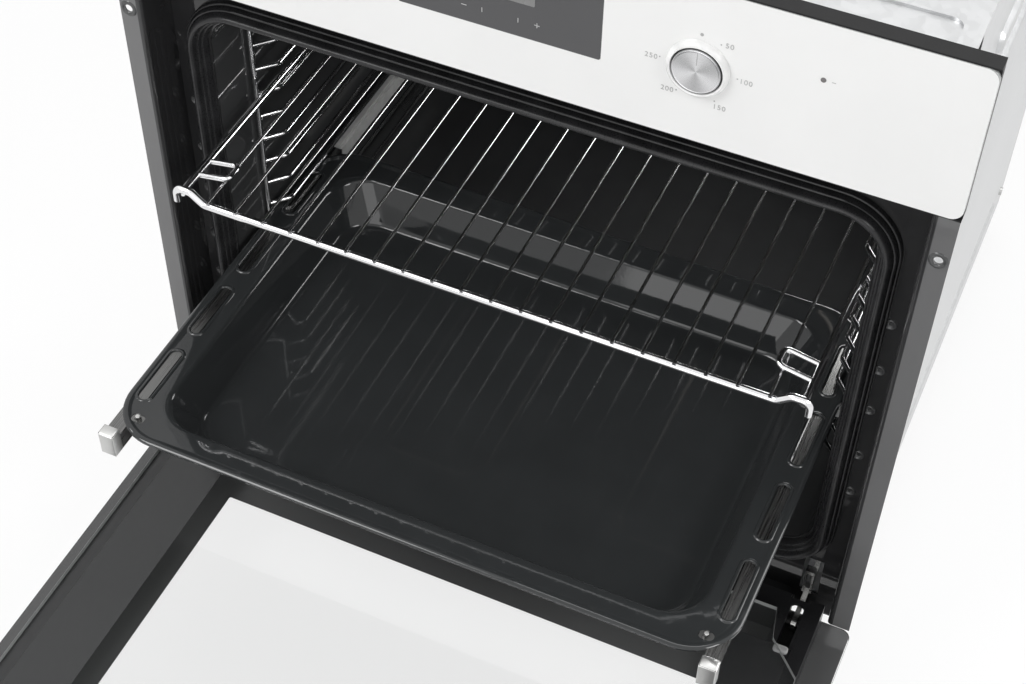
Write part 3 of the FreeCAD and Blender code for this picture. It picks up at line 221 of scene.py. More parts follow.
def noise(material, scale, detail=3.0, stretch=(1.0, 1.0, 1.0)):
    """Noise on the piece's own coordinates."""
    tree = material.node_tree
    mapping = add_node(tree, "ShaderNodeMapping", Vector=own_place(tree), Scale=stretch)
    texture = add_node(tree, "ShaderNodeTexNoise", Vector=mapping.outputs["Vector"], Scale=scale,
                       Detail=detail)
    return texture.outputs["Fac"]


def crystals(material, scale):
    """One random number for each cell of a crystal pattern."""
    tree = material.node_tree
    cells = add_node(tree, "ShaderNodeTexVoronoi", Vector=own_place(tree), Scale=scale)
    return add_node(tree, "ShaderNodeSeparateColor", Color=cells.outputs["Color"]).outputs["Red"]


def remap(material, source, low, high, start=0.3, end=0.7):
    """Map a factor to a range of numbers."""
    node = add_node(material.node_tree, "ShaderNodeMapRange", Value=source, From_Min=start, From_Max=end,
                    To_Min=low, To_Max=high)
    return node.outputs["Result"]


def mix_colours(material, factor, first, second):
    """Base colour between two colours by a factor."""
    mix = material.node_tree.nodes.new("ShaderNodeMix")
    mix.data_type = "RGBA"
    # With colours, these are the numbers of the node's factor, its two inputs and its output
    for number, source in ((0, factor), (6, first), (7, second)):
        feed(material.node_tree, mix.inputs[number], source)
    surface_input(material, "Base Color", mix.outputs[2])


def scaled(base, share):
    """A colour made lighter or darker."""
    return tuple(min(1.0, part * share) for part in base)


def shade(material, factor, base, dark, light, start=0.3, end=0.7):
    """Vary the base colour between a darker and a lighter share of it by a factor."""
    mix_colours(material, remap(material, factor, 0.0, 1.0, start, end),
                (*scaled(base, dark), 1.0), (*scaled(base, light), 1.0))


def rough_between(material, factor, low, high):
    """Roughness between two numbers by a factor."""
    surface_input(material, "Roughness", remap(material, factor, low, high))


def bump(material, factor, distance, strength):
    """Fine relief from a factor."""
    node = add_node(material.node_tree, "ShaderNodeBump", Height=factor, Distance=distance,
                    Strength=strength)
    surface_input(material, "Normal", node.outputs["Normal"])


def enamel_finish(name, base):
    """Glossy vitreous enamel: slight orange peel and a faint change of gloss."""
    material = plain_finish(name, base, roughness=0.04, IOR=1.5)
    bump(material, noise(material, scale=420.0, detail=2.0), distance=0.00005, strength=0.15)
    cloud = noise(material, scale=26.0, detail=4.0)
    shade(material, cloud, base, dark=0.95, light=1.08)
    rough_between(material, cloud, low=0.03, high=0.05)
    return material


def frame_finish(name, base, flange, edge, fade=0.0006):
    """Enamel whose outer flange, past an edge on either side, is another tone."""
    material = enamel_finish(name, base)
    tree = material.node_tree
    enamel = tree.nodes["Principled BSDF"].inputs["Base Color"].links[0].from_socket
    split = add_node(tree, "ShaderNodeSeparateXYZ", Vector=own_place(tree))
    outward = operation(tree, "ShaderNodeMath", "ABSOLUTE", split.outputs["X"])
    side = remap(material, outward.outputs[0], 0.0, 1.0, edge, edge + fade)
    mix_colours(material, side, enamel, (*flange, 1.0))
    return material


def plastic_finish(name, base, roughness=0.5, gloss=0.5):
    """Moulded plastic with a fine grain."""
    material = plain_finish(name, base, roughness, Specular_IOR_Level=gloss)
    grain = noise(material, scale=1500.0, detail=2.0)
    bump(material, grain, distance=0.00004, strength=0.3)
    shade(material, noise(material, scale=90.0), base, dark=0.9, light=1.12)
    rough_between(material, grain, low=roughness * 0.9, high=roughness * 1.1)
    return material


def silicone_finish(name, base):
    """Soft silicone with dust in its grain."""
    material = plain_finish(name, base, roughness=0.3, Specular_IOR_Level=0.35)
    grain = noise(material, scale=900.0, detail=4.0)
    bump(material, grain, distance=0.00006, strength=0.3)
    shade(material, noise(material, scale=60.0), base, dark=0.75, light=1.5)
    rough_between(material, grain, low=0.24, high=0.36)
    return material


def chrome_finish(name, base, roughness=0.09):
    """Bright plating with faint drawing marks."""
    material = plain_finish(name, base, roughness, metallic=1.0)
    rough_between(material, noise(material, scale=40.0), low=roughness * 0.85, high=roughness * 1.2)
    shade(material, noise(material, scale=50.0), base, dark=0.93, light=1.0)
    return material


def sheet_finish(name, base, roughness=0.36, metallic=0.85):
    """Galvanised sheet with a fine spangle."""
    material = plain_finish(name, base, roughness, metallic)
    spangle = crystals(material, scale=190.0)
    shade(material, spangle, base, dark=0.95, light=1.03, start=0.0, end=1.0)
    rough_between(material, spangle, low=roughness * 0.95, high=roughness * 1.06)
    bump(material, noise(material, scale=500.0), distance=0.00003, strength=0.2)
    return material


def brushed_finish(name, base, stretch, roughness=0.28):
    """Metal brushed along one way."""
    material = plain_finish(name, base, roughness, metallic=1.0)
    lines = noise(material, scale=900.0, detail=2.0, stretch=stretch)
    shade(material, lines, base, dark=0.85, light=1.08)
    rough_between(material, lines, low=roughness * 0.8, high=roughness * 1.25)
    bump(material, lines, distance=0.00002, strength=0.25)
    return material


def spun_finish(name, base, centre, highlight_lobes=3.0):
    """Metal turned on a lathe: rings about the knob's axis, and a painted highlight, a fan of lighter and darker
    lobes round the axis painted into the base colour.
    """
    material = plain_finish(name, base, roughness=0.3, metallic=1.0, Anisotropic=0.75)
    tree = material.node_tree
    axis = (centre.x, 0.0, centre.z)
    shift = operation(tree, "ShaderNodeVectorMath", "SUBTRACT", own_place(tree), axis)
    split = add_node(tree, "ShaderNodeSeparateXYZ", Vector=shift.outputs[0])
    across, above = split.outputs["X"], split.outputs["Z"]
    flat = add_node(tree, "ShaderNodeCombineXYZ", X=across, Y=above)
    reach = operation(tree, "ShaderNodeVectorMath", "LENGTH", flat.outputs[0])
    rings = add_node(tree, "ShaderNodeTexNoise", Scale=5200.0, Detail=2.0)
    rings.noise_dimensions = "1D"
    tree.links.new(reach.outputs["Value"], rings.inputs["W"])
    bump(material, rings.outputs["Fac"], distance=0.00003, strength=0.3)
    rough_between(material, rings.outputs["Fac"], low=0.24, high=0.36)
    # Painted highlight: the base colour is made lighter and darker in lobes round the axis, standing for the fan
    # of light a turned face reflects
    angle = operation(tree, "ShaderNodeMath", "ARCTAN2", across, above)
    turn = operation(tree, "ShaderNodeMath", "MULTIPLY", angle.outputs[0], highlight_lobes)
    wave = operation(tree, "ShaderNodeMath", "COSINE", turn.outputs[0])
    shade(material, wave.outputs[0], base, dark=0.72, light=1.1, start=-1.0, end=1.0)
    return material


def wool_finish(name, base):
    """Mineral wool."""
    material = plain_finish(name, base, roughness=0.95)
    strands = noise(material, scale=260.0, detail=8.0, stretch=(1.0, 4.0, 1.0))
    shade(material, strands, base, dark=0.7, light=1.0)
    bump(material, strands, distance=0.0008, strength=0.8)
    return material


def gloss_finish(name, base, roughness=0.06):
    """Printed glass: an even colour under a polished face with the faintest waviness."""
    material = plain_finish(name, base, roughness, IOR=1.5)
    wave = noise(material, scale=14.0, detail=1.0)
    bump(material, wave, distance=0.00002, strength=0.12)
    shade(material, wave, base, dark=0.985, light=1.01)
    haze = noise(material, scale=40.0, detail=4.0)
    rough_between(material, haze, low=roughness * 0.7, high=roughness * 1.3)
    return material


def clear_finish(name, tint, alpha):
    """Clear pane with a faint tint, thin enough to cast almost no shadow."""
    material = plain_finish(name, tint, roughness=0.03, IOR=1.5, Alpha=alpha)
    rough_between(material, noise(material, scale=30.0), low=0.02, high=0.045)
    material.surface_render_method = "BLENDED"
    return material


FINISHES = {}


NODE_FINISHES = {
    "white_glass": ["control_panel_glass"],
    "white_plastic": ["temperature_collar", "function_collar"],
    "clock_glass": ["clock_window"],
    "charcoal": ["control_panel_carrier", "clock_module", "thermostat", "function_switch", "terminal_box"],
    "door_plastic": ["door_column_left", "door_column_right", "door_top_trim", "door_bottom_rail"],
    "frame_enamel": ["front_frame", "base_plate"],
    "cavity_enamel": ["cavity_liner", "fan_baffle"],
    "tray_enamel": ["baking_tray"],
    "silicone": ["door_gasket"],
    "wool": ["insulation_blanket"],
    "sheet": ["side_panel_left", "side_panel_right", "top_cover", "rear_panel",
              "duct_floor_plate", "hinge_receivers", "blower_housing"],
    "chrome": ["side_rack_left", "side_rack_right", "rack_frame"],
    # The wires' finish is a darker copy of the racks' chrome: painted shade
    "wire": ["rack_wires"],
    "channel_zinc": ["rail_channels", "rail_middles"],
    "rail_zinc": ["rail_slide_left", "rail_slide_right"],
    "door_plastic_matt": ["hinge_channels"],
    "hinge_zinc": ["hinge_arms", "hinge_lock_left", "hinge_lock_right",
                   "housing_screws", "door_screws"],
    "handle_steel": ["door_handle"],
    "spun_right": ["temperature_knob"],
    "spun_left": ["function_knob"],
    "shaft_steel": ["temperature_shaft", "function_shaft"],
    "element": ["grill_element", "base_element", "ring_element"],
    "fan_steel": ["fan_blade", "blower_rotor"],
    "motor": ["fan_motor", "blower_motor"],
    "ceramic": ["lamp_holder"],
    "lamp_clear": ["lamp_glass", "lamp_bulb"],
    "pane_clear": ["door_inner_glass", "door_outer_glass"],
    "pane_middle": ["door_middle_glass"],
    "signal": ["signal_lens"],
}


# Modelling helpers

def deselect():
    """Leave nothing selected, in object mode."""
    if bpy.context.object and bpy.context.object.mode != "OBJECT":
        bpy.ops.object.mode_set(mode="OBJECT")
    bpy.ops.object.select_all(action="DESELECT")


def pick(piece, *others):
    """Select pieces and make the first one active."""
    deselect()
    for one in (piece, *others):
        one.select_set(True)
    bpy.context.view_layer.objects.active = piece


def start_piece(name):
    """A new piece in edit mode, with the starting plane's vertices removed."""
    deselect()
    bpy.ops.mesh.primitive_plane_add(size=1.0)
    piece = bpy.context.object
    piece.name = name
    piece.data.name = name
    bpy.ops.object.mode_set(mode="EDIT")
    bpy.ops.mesh.delete(type="VERT")
    return piece


def rounded_ring(middle, half_x, half_y, radius, height, steps):
    """Add a ring of edges with round corners to the mesh in edit mode."""
    place = (middle[0], middle[1], height)
    bpy.ops.mesh.primitive_plane_add(size=2.0, location=place)
    bpy.ops.transform.resize(value=(half_x, half_y, 1.0), center_override=place)
    bpy.ops.mesh.bevel(offset=radius, segments=steps, affect="VERTICES", offset_type="OFFSET",
                       clamp_overlap=False)


def round_ring(radius, height, steps):
    """Add a circle of edges about the origin's upright to the mesh in edit mode."""
    bpy.ops.mesh.primitive_circle_add(vertices=steps, radius=radius, fill_type="NOTHING",
                                      location=(0.0, 0.0, height))


def mark_level(piece, level):
    """Remember the selected vertices as one ring."""
    mesh = bmesh.from_edit_mesh(piece.data)
    layer = mesh.verts.layers.int.get("level") or mesh.verts.layers.int.new("level")
    for vertex in mesh.verts:
        if vertex.select:
            vertex[layer] = level
    bmesh.update_edit_mesh(piece.data)


def select_levels(piece, *levels):
    """Select the edges of some rings."""
    bpy.ops.mesh.select_mode(type="VERT")
    bpy.ops.mesh.select_all(action="DESELECT")
    mesh = bmesh.from_edit_mesh(piece.data)
    layer = mesh.verts.layers.int["level"]
    for vertex in mesh.verts:
        vertex.select = vertex[layer] in levels
    mesh.select_flush(True)
    bmesh.update_edit_mesh(piece.data)


def build(name, draw, rings, closed=(True, True)):
    """A piece of rings joined each to the next, with the first and last closed if asked for."""
    piece = start_piece(name)
    for level, ring in enumerate(rings, start=1):
        draw(*ring)
        mark_level(piece, level)
    bpy.ops.mesh.select_all(action="SELECT")
    bpy.ops.mesh.delete(type="ONLY_FACE")
    for level in range(1, len(rings)):
        select_levels(piece, level, level + 1)
        bpy.ops.mesh.bridge_edge_loops()
    for wanted, level in zip(closed, (1, len(rings))):
        if wanted:
            select_levels(piece, level)
            bpy.ops.mesh.edge_face_add()
    bpy.ops.mesh.select_all(action="SELECT")
    bpy.ops.mesh.normals_make_consistent(inside=False)
    bpy.ops.object.mode_set(mode="OBJECT")
    return piece


def stack(name, place, half, radius, levels, steps=8, closed=(True, True), rounding=0.0):
    """A piece of rounded rectangles one over another.

    A level is a distance in from the half sizes and a height over the place, in millimetres.
    Rounding is the share of that distance by which the corner's radius shrinks.
    """
    rings = [(place, half[0] - inset * MM, half[1] - inset * MM, radius - rounding * inset * MM,
              place[2] + height * MM, steps) for inset, height in levels]
    return build(name, rounded_ring, rings, closed)


def turned(name, profile, close_last, steps):
    """A piece turned about its height: radius and height in millimetres."""
    rings = [(radius * MM, height * MM, steps) for radius, height in profile]
    return build(name, round_ring, rings, (False, close_last))


def stand_up(piece, place, turn=FORWARD):
    """Turn a piece that was modelled lying flat, to the user unless told otherwise, and place it."""
    pick(piece)
    piece.rotation_euler = [math.radians(degrees) for degrees in turn]
    piece.location = place
    bpy.ops.object.transform_apply(location=True, rotation=True, scale=True)
    return piece


def duplicates(piece, number):
    """A piece and copies of it, as many in all as asked for."""
    made = [piece]
    while len(made) < number:
        pick(piece)
        bpy.ops.object.duplicate()
        made.append(bpy.context.object)
    return made


def copies(piece, places, turn=FORWARD):
    """Stand a piece up at the first place, and a copy of it at each of the others."""
    made = duplicates(piece, len(places))
    return [stand_up(one, place, turn) for one, place in zip(made, places)]


def apply_modifier(piece, kind, **settings):
    """Add a modifier, set it and apply it."""
    pick(piece)
    modifier = piece.modifiers.new(kind.title(), kind)
    for label, setting in settings.items():
        setattr(modifier, label, setting)
    bpy.ops.object.modifier_apply(modifier=modifier.name)


def edge_band(node, axis, gauge, facing=0.9):
    """A thin band on the rim of a CAD pane: its faces that don't look along one axis."""
    source = frame["nodes"][node]
    band = bpy.data.objects.new("band", source.data.copy())
    band.data.transform(source.matrix_world)
    bpy.context.scene.collection.objects.link(band)
    pick(band)
    bpy.ops.object.mode_set(mode="EDIT")
    bpy.ops.mesh.select_all(action="SELECT")
    bpy.ops.mesh.remove_doubles(threshold=WELD)
    bpy.ops.mesh.normals_make_consistent(inside=False)
    bpy.ops.mesh.select_mode(type="FACE")
    bpy.ops.mesh.select_all(action="DESELECT")
    mesh = bmesh.from_edit_mesh(band.data)
    for face in mesh.faces:
        face.select = abs(face.normal[axis]) > facing
    bmesh.update_edit_mesh(band.data)
    bpy.ops.mesh.delete(type="FACE")
    bpy.ops.object.mode_set(mode="OBJECT")
    apply_modifier(band, "SOLIDIFY", thickness=gauge, offset=1.0)
    return band


def join(pieces):
    """Make pieces one."""
    pick(*pieces)
    if len(pieces) > 1:
        bpy.ops.object.join()
    return pieces[0]


def smooth(piece, degrees):
    """Smooth the faces that meet at a small angle."""
    pick(piece)
    bpy.ops.object.shade_smooth_by_angle(angle=math.radians(degrees))
    return piece


def angle_smoothing(degrees):
    """Geometry nodes that join a CAD mesh's loose triangles and smooth all but its sharp edges."""
    group = bpy.data.node_groups.new("angle_smoothing", "GeometryNodeTree")
    for way in ("INPUT", "OUTPUT"):
        group.interface.new_socket("Geometry", in_out=way, socket_type="NodeSocketGeometry")
    angle = group.nodes.new("GeometryNodeInputMeshEdgeAngle").outputs["Unsigned Angle"]
    sharp = operation(group, "ShaderNodeMath", "GREATER_THAN", angle, math.radians(degrees))
    start = group.nodes.new("NodeGroupInput")
    merged = add_node(group, "GeometryNodeMergeByDistance", Geometry=start.outputs["Geometry"],
                      Distance=WELD)
    faces = add_node(group, "GeometryNodeSetShadeSmooth", Geometry=merged.outputs["Geometry"],
                     Shade_Smooth=True)
    edges = add_node(group, "GeometryNodeSetShadeSmooth", Geometry=faces.outputs["Geometry"],
                     Selection=sharp.outputs[0], Shade_Smooth=False)
    edges.domain = "EDGE"
    add_node(group, "NodeGroupOutput", Geometry=edges.outputs["Geometry"])
    return group


def dress(name, pieces, coat, body, slot, *replaced):
    """Join pieces under a name, give them a finish and a body, and hide the nodes they stand for; the slot is not
    used.
    """
    piece = join(pieces)
    piece.name = name
    piece.data.materials.clear()
    piece.data.materials.append(FINISHES[coat])
    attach(piece, body)
    if replaced:
        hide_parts(*replaced)


# Pieces

class OVEN_OT_finishes(bpy.types.Operator):
    """Make the finishes and put them on the CAD nodes."""

    bl_idname = "oven.finishes"
    bl_label = "Finishes"

    # Sharper edges of the CAD meshes, in degrees, stay sharp
    sharp_angle = 32.0

    def execute(self, context):
        tones = context.scene.oven_colours
        edge = context.scene.oven_sizes.flange_edge
        # Name, kind of finish, colour, and roughness or what else that kind takes
        for name, make, *settings in (
            ("white_glass", gloss_finish, tones.white),
            ("white_plastic", plastic_finish, tones.white, 0.22),
            ("clock_glass", gloss_finish, tones.window, 0.12),
            ("lcd", gloss_finish, (0.2, 0.2, 0.2), 0.3),
            ("charcoal", plastic_finish, tones.charcoal, 0.5, 0.22),
            ("door_plastic", plastic_finish, tones.black, 0.3),
            ("door_plastic_matt", plastic_finish, (0.008, 0.008, 0.008), 0.5),
            ("glass_edge", gloss_finish, (0.4, 0.41, 0.405), 0.2),
            ("lip_grey", plastic_finish, (0.4, 0.4, 0.4), 0.4),
            ("frame_enamel", frame_finish, tones.frame_black, tones.flange_grey, edge),
            ("cavity_enamel", enamel_finish, tones.enamel),
            ("tray_enamel", enamel_finish, tones.tray),
            ("silicone", silicone_finish, tones.silicone),
            ("wool", wool_finish, (0.75, 0.7, 0.6)),
            ("sheet", sheet_finish, tones.steel),
            ("chrome", chrome_finish, tones.chrome),
            # Painted shade: the wires are the racks' chrome made darker, standing for the dark cavity they reflect
            ("wire", chrome_finish, scaled(tones.chrome, 0.7), 0.2),
            # Painted shade: the rail slides are the rails' zinc made far darker, standing for the shade they lie
            # in under the tray
            ("rail_zinc", brushed_finish, scaled(tones.zinc, 0.3), (1.0, 0.02, 1.0)),
            # Painted reflection: the rail channels are the rails' zinc made lighter and nearly matt, so they show
            # the bright strip the steel reflects
            ("channel_zinc", sheet_finish, scaled(tones.zinc, 1.4), 0.25, 0.2),
            ("cap_zinc", chrome_finish, tones.zinc, 0.36),
            ("hinge_zinc", chrome_finish, tones.zinc, 0.22),
            ("handle_steel", brushed_finish, (0.7, 0.7, 0.71), (0.02, 1.0, 1.0)),
            ("spun_right", spun_finish, tones.knob, centre_of("temperature_knob")),
            ("spun_left", spun_finish, tones.knob, centre_of("function_knob")),
            ("shaft_steel", chrome_finish, tones.zinc, 0.25),
            ("element", brushed_finish, (0.13, 0.12, 0.11), (1.0, 1.0, 1.0), 0.4),
            ("fan_steel", sheet_finish, (0.55, 0.55, 0.55), 0.4),
            ("motor", plastic_finish, (0.05, 0.05, 0.055), 0.5),
            ("ceramic", plastic_finish, (0.8, 0.78, 0.72), 0.6),
            ("lamp_clear", clear_finish, (0.8, 0.8, 0.78), 0.35),
            ("pane_clear", clear_finish, (0.42, 0.44, 0.435), 0.026),
            ("pane_middle", clear_finish, (0.9, 0.92, 0.91), 0.012),
            ("signal", plastic_finish, (0.15, 0.14, 0.14), 0.25),
            ("sign", plastic_finish, tones.sign, 0.5),
            ("pale_sign", plastic_finish, (0.5, 0.5, 0.5), 0.5),
            ("black_print", gloss_finish, tones.black, 0.12),
            ("grey_print", gloss_finish, (0.085, 0.085, 0.086), 0.12),
            ("white_print", gloss_finish, (0.9, 0.9, 0.895), 0.2),
        ):
            FINISHES[name] = make(name, *settings)
        smoothing = angle_smoothing(self.sharp_angle)
        for name, nodes in NODE_FINISHES.items():
            for node in nodes:
                mesh = frame["nodes"][node].data
                mesh.materials.clear()
                mesh.materials.append(FINISHES[name])
                frame["nodes"][node].modifiers.new("Smoothing", "NODES").node_group = smoothing
        return {"FINISHED"}


class OVEN_OT_tray(bpy.types.Operator):
    """Model the tray: rolled edge, slotted rim and a well with soft corners."""

    bl_idname = "oven.tray"
    bl_label = "Baking tray"

    # Distance in from the edge and height from the rim's top, in millimetres
    profile = ((3.2, -4.6), (1.3, -4.2), (0.2, -2.9), (0.2, -1.4), (1.2, -0.3), (2.8, 0.0), (4.6, -0.25),
               (6.0, -0.75), (8.0, -0.9), (27.0, -1.0), (28.6, -1.3), (30.0, -2.2), (31.2, -4.2),
               (43.4, -31.2), (44.2, -33.3), (45.3, -34.8), (46.9, -35.7), (49.0, -35.95), (60.0, -36.0))
    lip_profile = ((-3.0, -1.0), (-2.3, -0.2), (-1.5, 0.15), (-0.7, 0.05), (-0.1, -0.6), (0.0, -1.4),
                   (0.0, -2.4))
    through = ((0.0, -6.0), (0.0, 4.0))
    notch_depth = ((0.0, -4.0), (0.0, 0.5))
    # The front and rear rims, between these distances in from the edge, are narrower by the gain
    rim = (6.0, 27.0)
    rim_gain = 0.006
    corner, least_corner = 0.040, 0.031
    slots_a_side = 4
    slot_roundness = 0.98
    lip_gauge = 0.0006
    hole_half, hole_corner = (0.0055, 0.0036), 0.0034
    notch_inset, notch_overrun, notch_corner = 0.0075, 0.002, 0.0005

    def execute(self, context):
        sizes = context.scene.oven_sizes
        low, high = corners("baking_tray")
        middle, half = (low + high) / 2, (high - low) / 2
        rings = []
        for inset, height in self.profile:
            share = (inset - self.rim[0]) / (self.rim[1] - self.rim[0])
            gain = self.rim_gain * min(1.0, max(0.0, share))
            radius = max(self.least_corner, self.corner - inset * MM)
            rings.append((middle, half.x - inset * MM, half.y - inset * MM + gain, radius,
                          high.z + height * MM, sizes.corner_steps))
        tray = build("baking_tray_sheet", rounded_ring, rings, (False, True))
        apply_modifier(tray, "SOLIDIFY", thickness=sizes.tray_gauge, offset=-1.0)
        slots, holes, notches = [], [], []
        rail = corners("rail_channels")[1]
        notch_x = corners("rail_slide_right")[0].x + self.notch_inset
        for side in SIDES.values():
            for step in range(self.slots_a_side):
                along = low.y + sizes.slot_start + sizes.slot_pitch * step + sizes.slot_length / 2
                slots.append((middle.x + side * (half.x - sizes.slot_inset), along, high.z))
            holes.append((side * sizes.pin_offset, low.y + sizes.pin_setback, high.z))
            notches.append((side * (notch_x + rail.x) / 2, middle.y, rail.z))
        notch_half = ((rail.x - notch_x) / 2, half.y + self.notch_overrun)
        slot = self.slot(sizes, self.through, (True, True))
        hole = stack("pin_hole", ORIGIN, self.hole_half, self.hole_corner, self.through)
        notch = stack("notch", ORIGIN, notch_half, self.notch_corner, self.notch_depth, steps=2)
        cutter = join([*copies(slot, slots, UPWARD), *copies(hole, holes, UPWARD),
                       *copies(notch, notches, UPWARD)])
        apply_modifier(tray, "BOOLEAN", object=cutter, operation="DIFFERENCE", solver="EXACT")
        bpy.data.objects.remove(cutter)
        lip = self.slot(sizes, self.lip_profile, (False, False))
        apply_modifier(lip, "SOLIDIFY", thickness=self.lip_gauge, offset=-1.0)
        smooth(join([tray, *copies(lip, slots, UPWARD)]), EVEN)
        dress("baking_tray_sheet", [tray], "tray_enamel", "tray_carriage", "tray_enamel", "baking_tray")
        return {"FINISHED"}

    def slot(self, sizes, levels, closed):
        """A slot's cutter, or the raised lip round it."""
        half = (sizes.slot_width / 2, sizes.slot_length / 2)
        return stack("slot", ORIGIN, half, half[0] * self.slot_roundness, levels, closed=closed,
                     rounding=self.slot_roundness)


class OVEN_OT_gasket(bpy.types.Operator):
    """Model the ribbed gasket round the cavity's mouth."""

    bl_idname = "oven.gasket"
    bl_label = "Door gasket"

    # Distance in from the outer edge and height off the frame's face, in millimetres
    profile = ((0.0, 0.0), (0.0, 3.6), (0.5, 4.3), (1.4, 4.4), (1.9, 3.7), (2.2, 5.0), (2.4, 7.6),
               (3.0, 8.5), (3.9, 8.6), (4.4, 7.9), (4.7, 9.4), (5.2, 11.6), (6.0, 13.4), (7.4, 14.3),
               (8.8, 14.5), (10.0, 13.5), (10.7, 11.9), (10.9, 9.9), (11.4, 9.2), (12.2, 9.3), (12.9, 8.6),
               (13.1, 6.6), (13.6, 6.0), (14.5, 6.1), (15.2, 5.3), (15.4, 3.4), (16.0, 2.6), (16.0, 0.0))
    corner = 0.0455

    def execute(self, context):
        low, high = corners("door_gasket")
        half = ((high.x - low.x) / 2, (high.z - low.z) / 2)
        gasket = stack("door_gasket_tube", ORIGIN, half, self.corner, self.profile,
                       context.scene.oven_sizes.corner_steps, (False, False), rounding=1.0)
        stand_up(gasket, (0.0, high.y, (low.z + high.z) / 2))
        dress("door_gasket_tube", [smooth(gasket, SOFT)], "silicone", "housing", "silicone", "door_gasket")
        return {"FINISHED"}


class OVEN_OT_knobs(bpy.types.Operator):
    """Model the turned knobs with their index line, and the collars round them."""

    bl_idname = "oven.knobs"
    bl_label = "Knobs and collars"

    # Radius and height off the panel's face, in millimetres
    knob_profile = ((15.4, 3.0), (15.4, 4.4), (15.2, 4.85), (14.8, 5.0), (14.4, 4.9), (14.1, 4.7),
                    (8.0, 4.6), (1.0, 4.5))
    # The skirt's black stands for the shade in the narrow gap between each knob and its collar: painted shade
    skirt_profile = ((15.9, -9.0), (15.9, 3.3), (15.7, 3.7), (15.5, 3.8), (15.3, 3.6), (15.3, -9.0))
    collar_profile = ((16.4, -9.0), (16.4, 3.9), (16.7, 4.3), (17.2, 4.4), (17.9, 4.3), (19.2, 3.2),
                      (19.9, 1.6), (20.0, 0.0))
    steps = 96
    # The index line's middle over the knob's axis, its half sizes, corner and levels
    line_place, line_half, line_corner = (0.0, 0.0095, 0.0), (0.00022, 0.0045), 0.0001
    line_levels = ((0.0, 4.5), (0.0, 4.75))

    def execute(self, context):
        names = ("temperature", "function")
        places = [centre_of(f"{name}_knob") for name in names]
        spots = [(place.x, PANEL_FRONT, place.z) for place in places]
        knob = smooth(turned("knob", self.knob_profile, True, self.steps), CRISP)
        skirt = smooth(turned("skirt", self.skirt_profile, False, self.steps), CRISP)
        line = stack("line", self.line_place, self.line_half, self.line_corner, self.line_levels, steps=2)
        collar = smooth(turned("collar", self.collar_profile, False, self.steps), EVEN)
        rows = zip(names, ("spun_right", "spun_left"), copies(knob, spots), copies(skirt, spots),
                   copies(line, spots), copies(collar, spots))
        for name, coat, knob, skirt, line, collar in rows:
            body = f"{name}_knob"
            dress(f"{name}_knob_turned", [knob], coat, body, "spun_metal", body)
            # Painted shade: the black skirt stands for the dark gap round the knob
            dress(f"{name}_knob_skirt", [skirt], "door_plastic", body, "spun_metal")
            dress(f"{name}_index", [line], "sign", body, "spun_metal")
            dress(f"{name}_collar_ring", [collar], "white_plastic", "housing", "white_plastic",
                  f"{name}_collar")
        return {"FINISHED"}


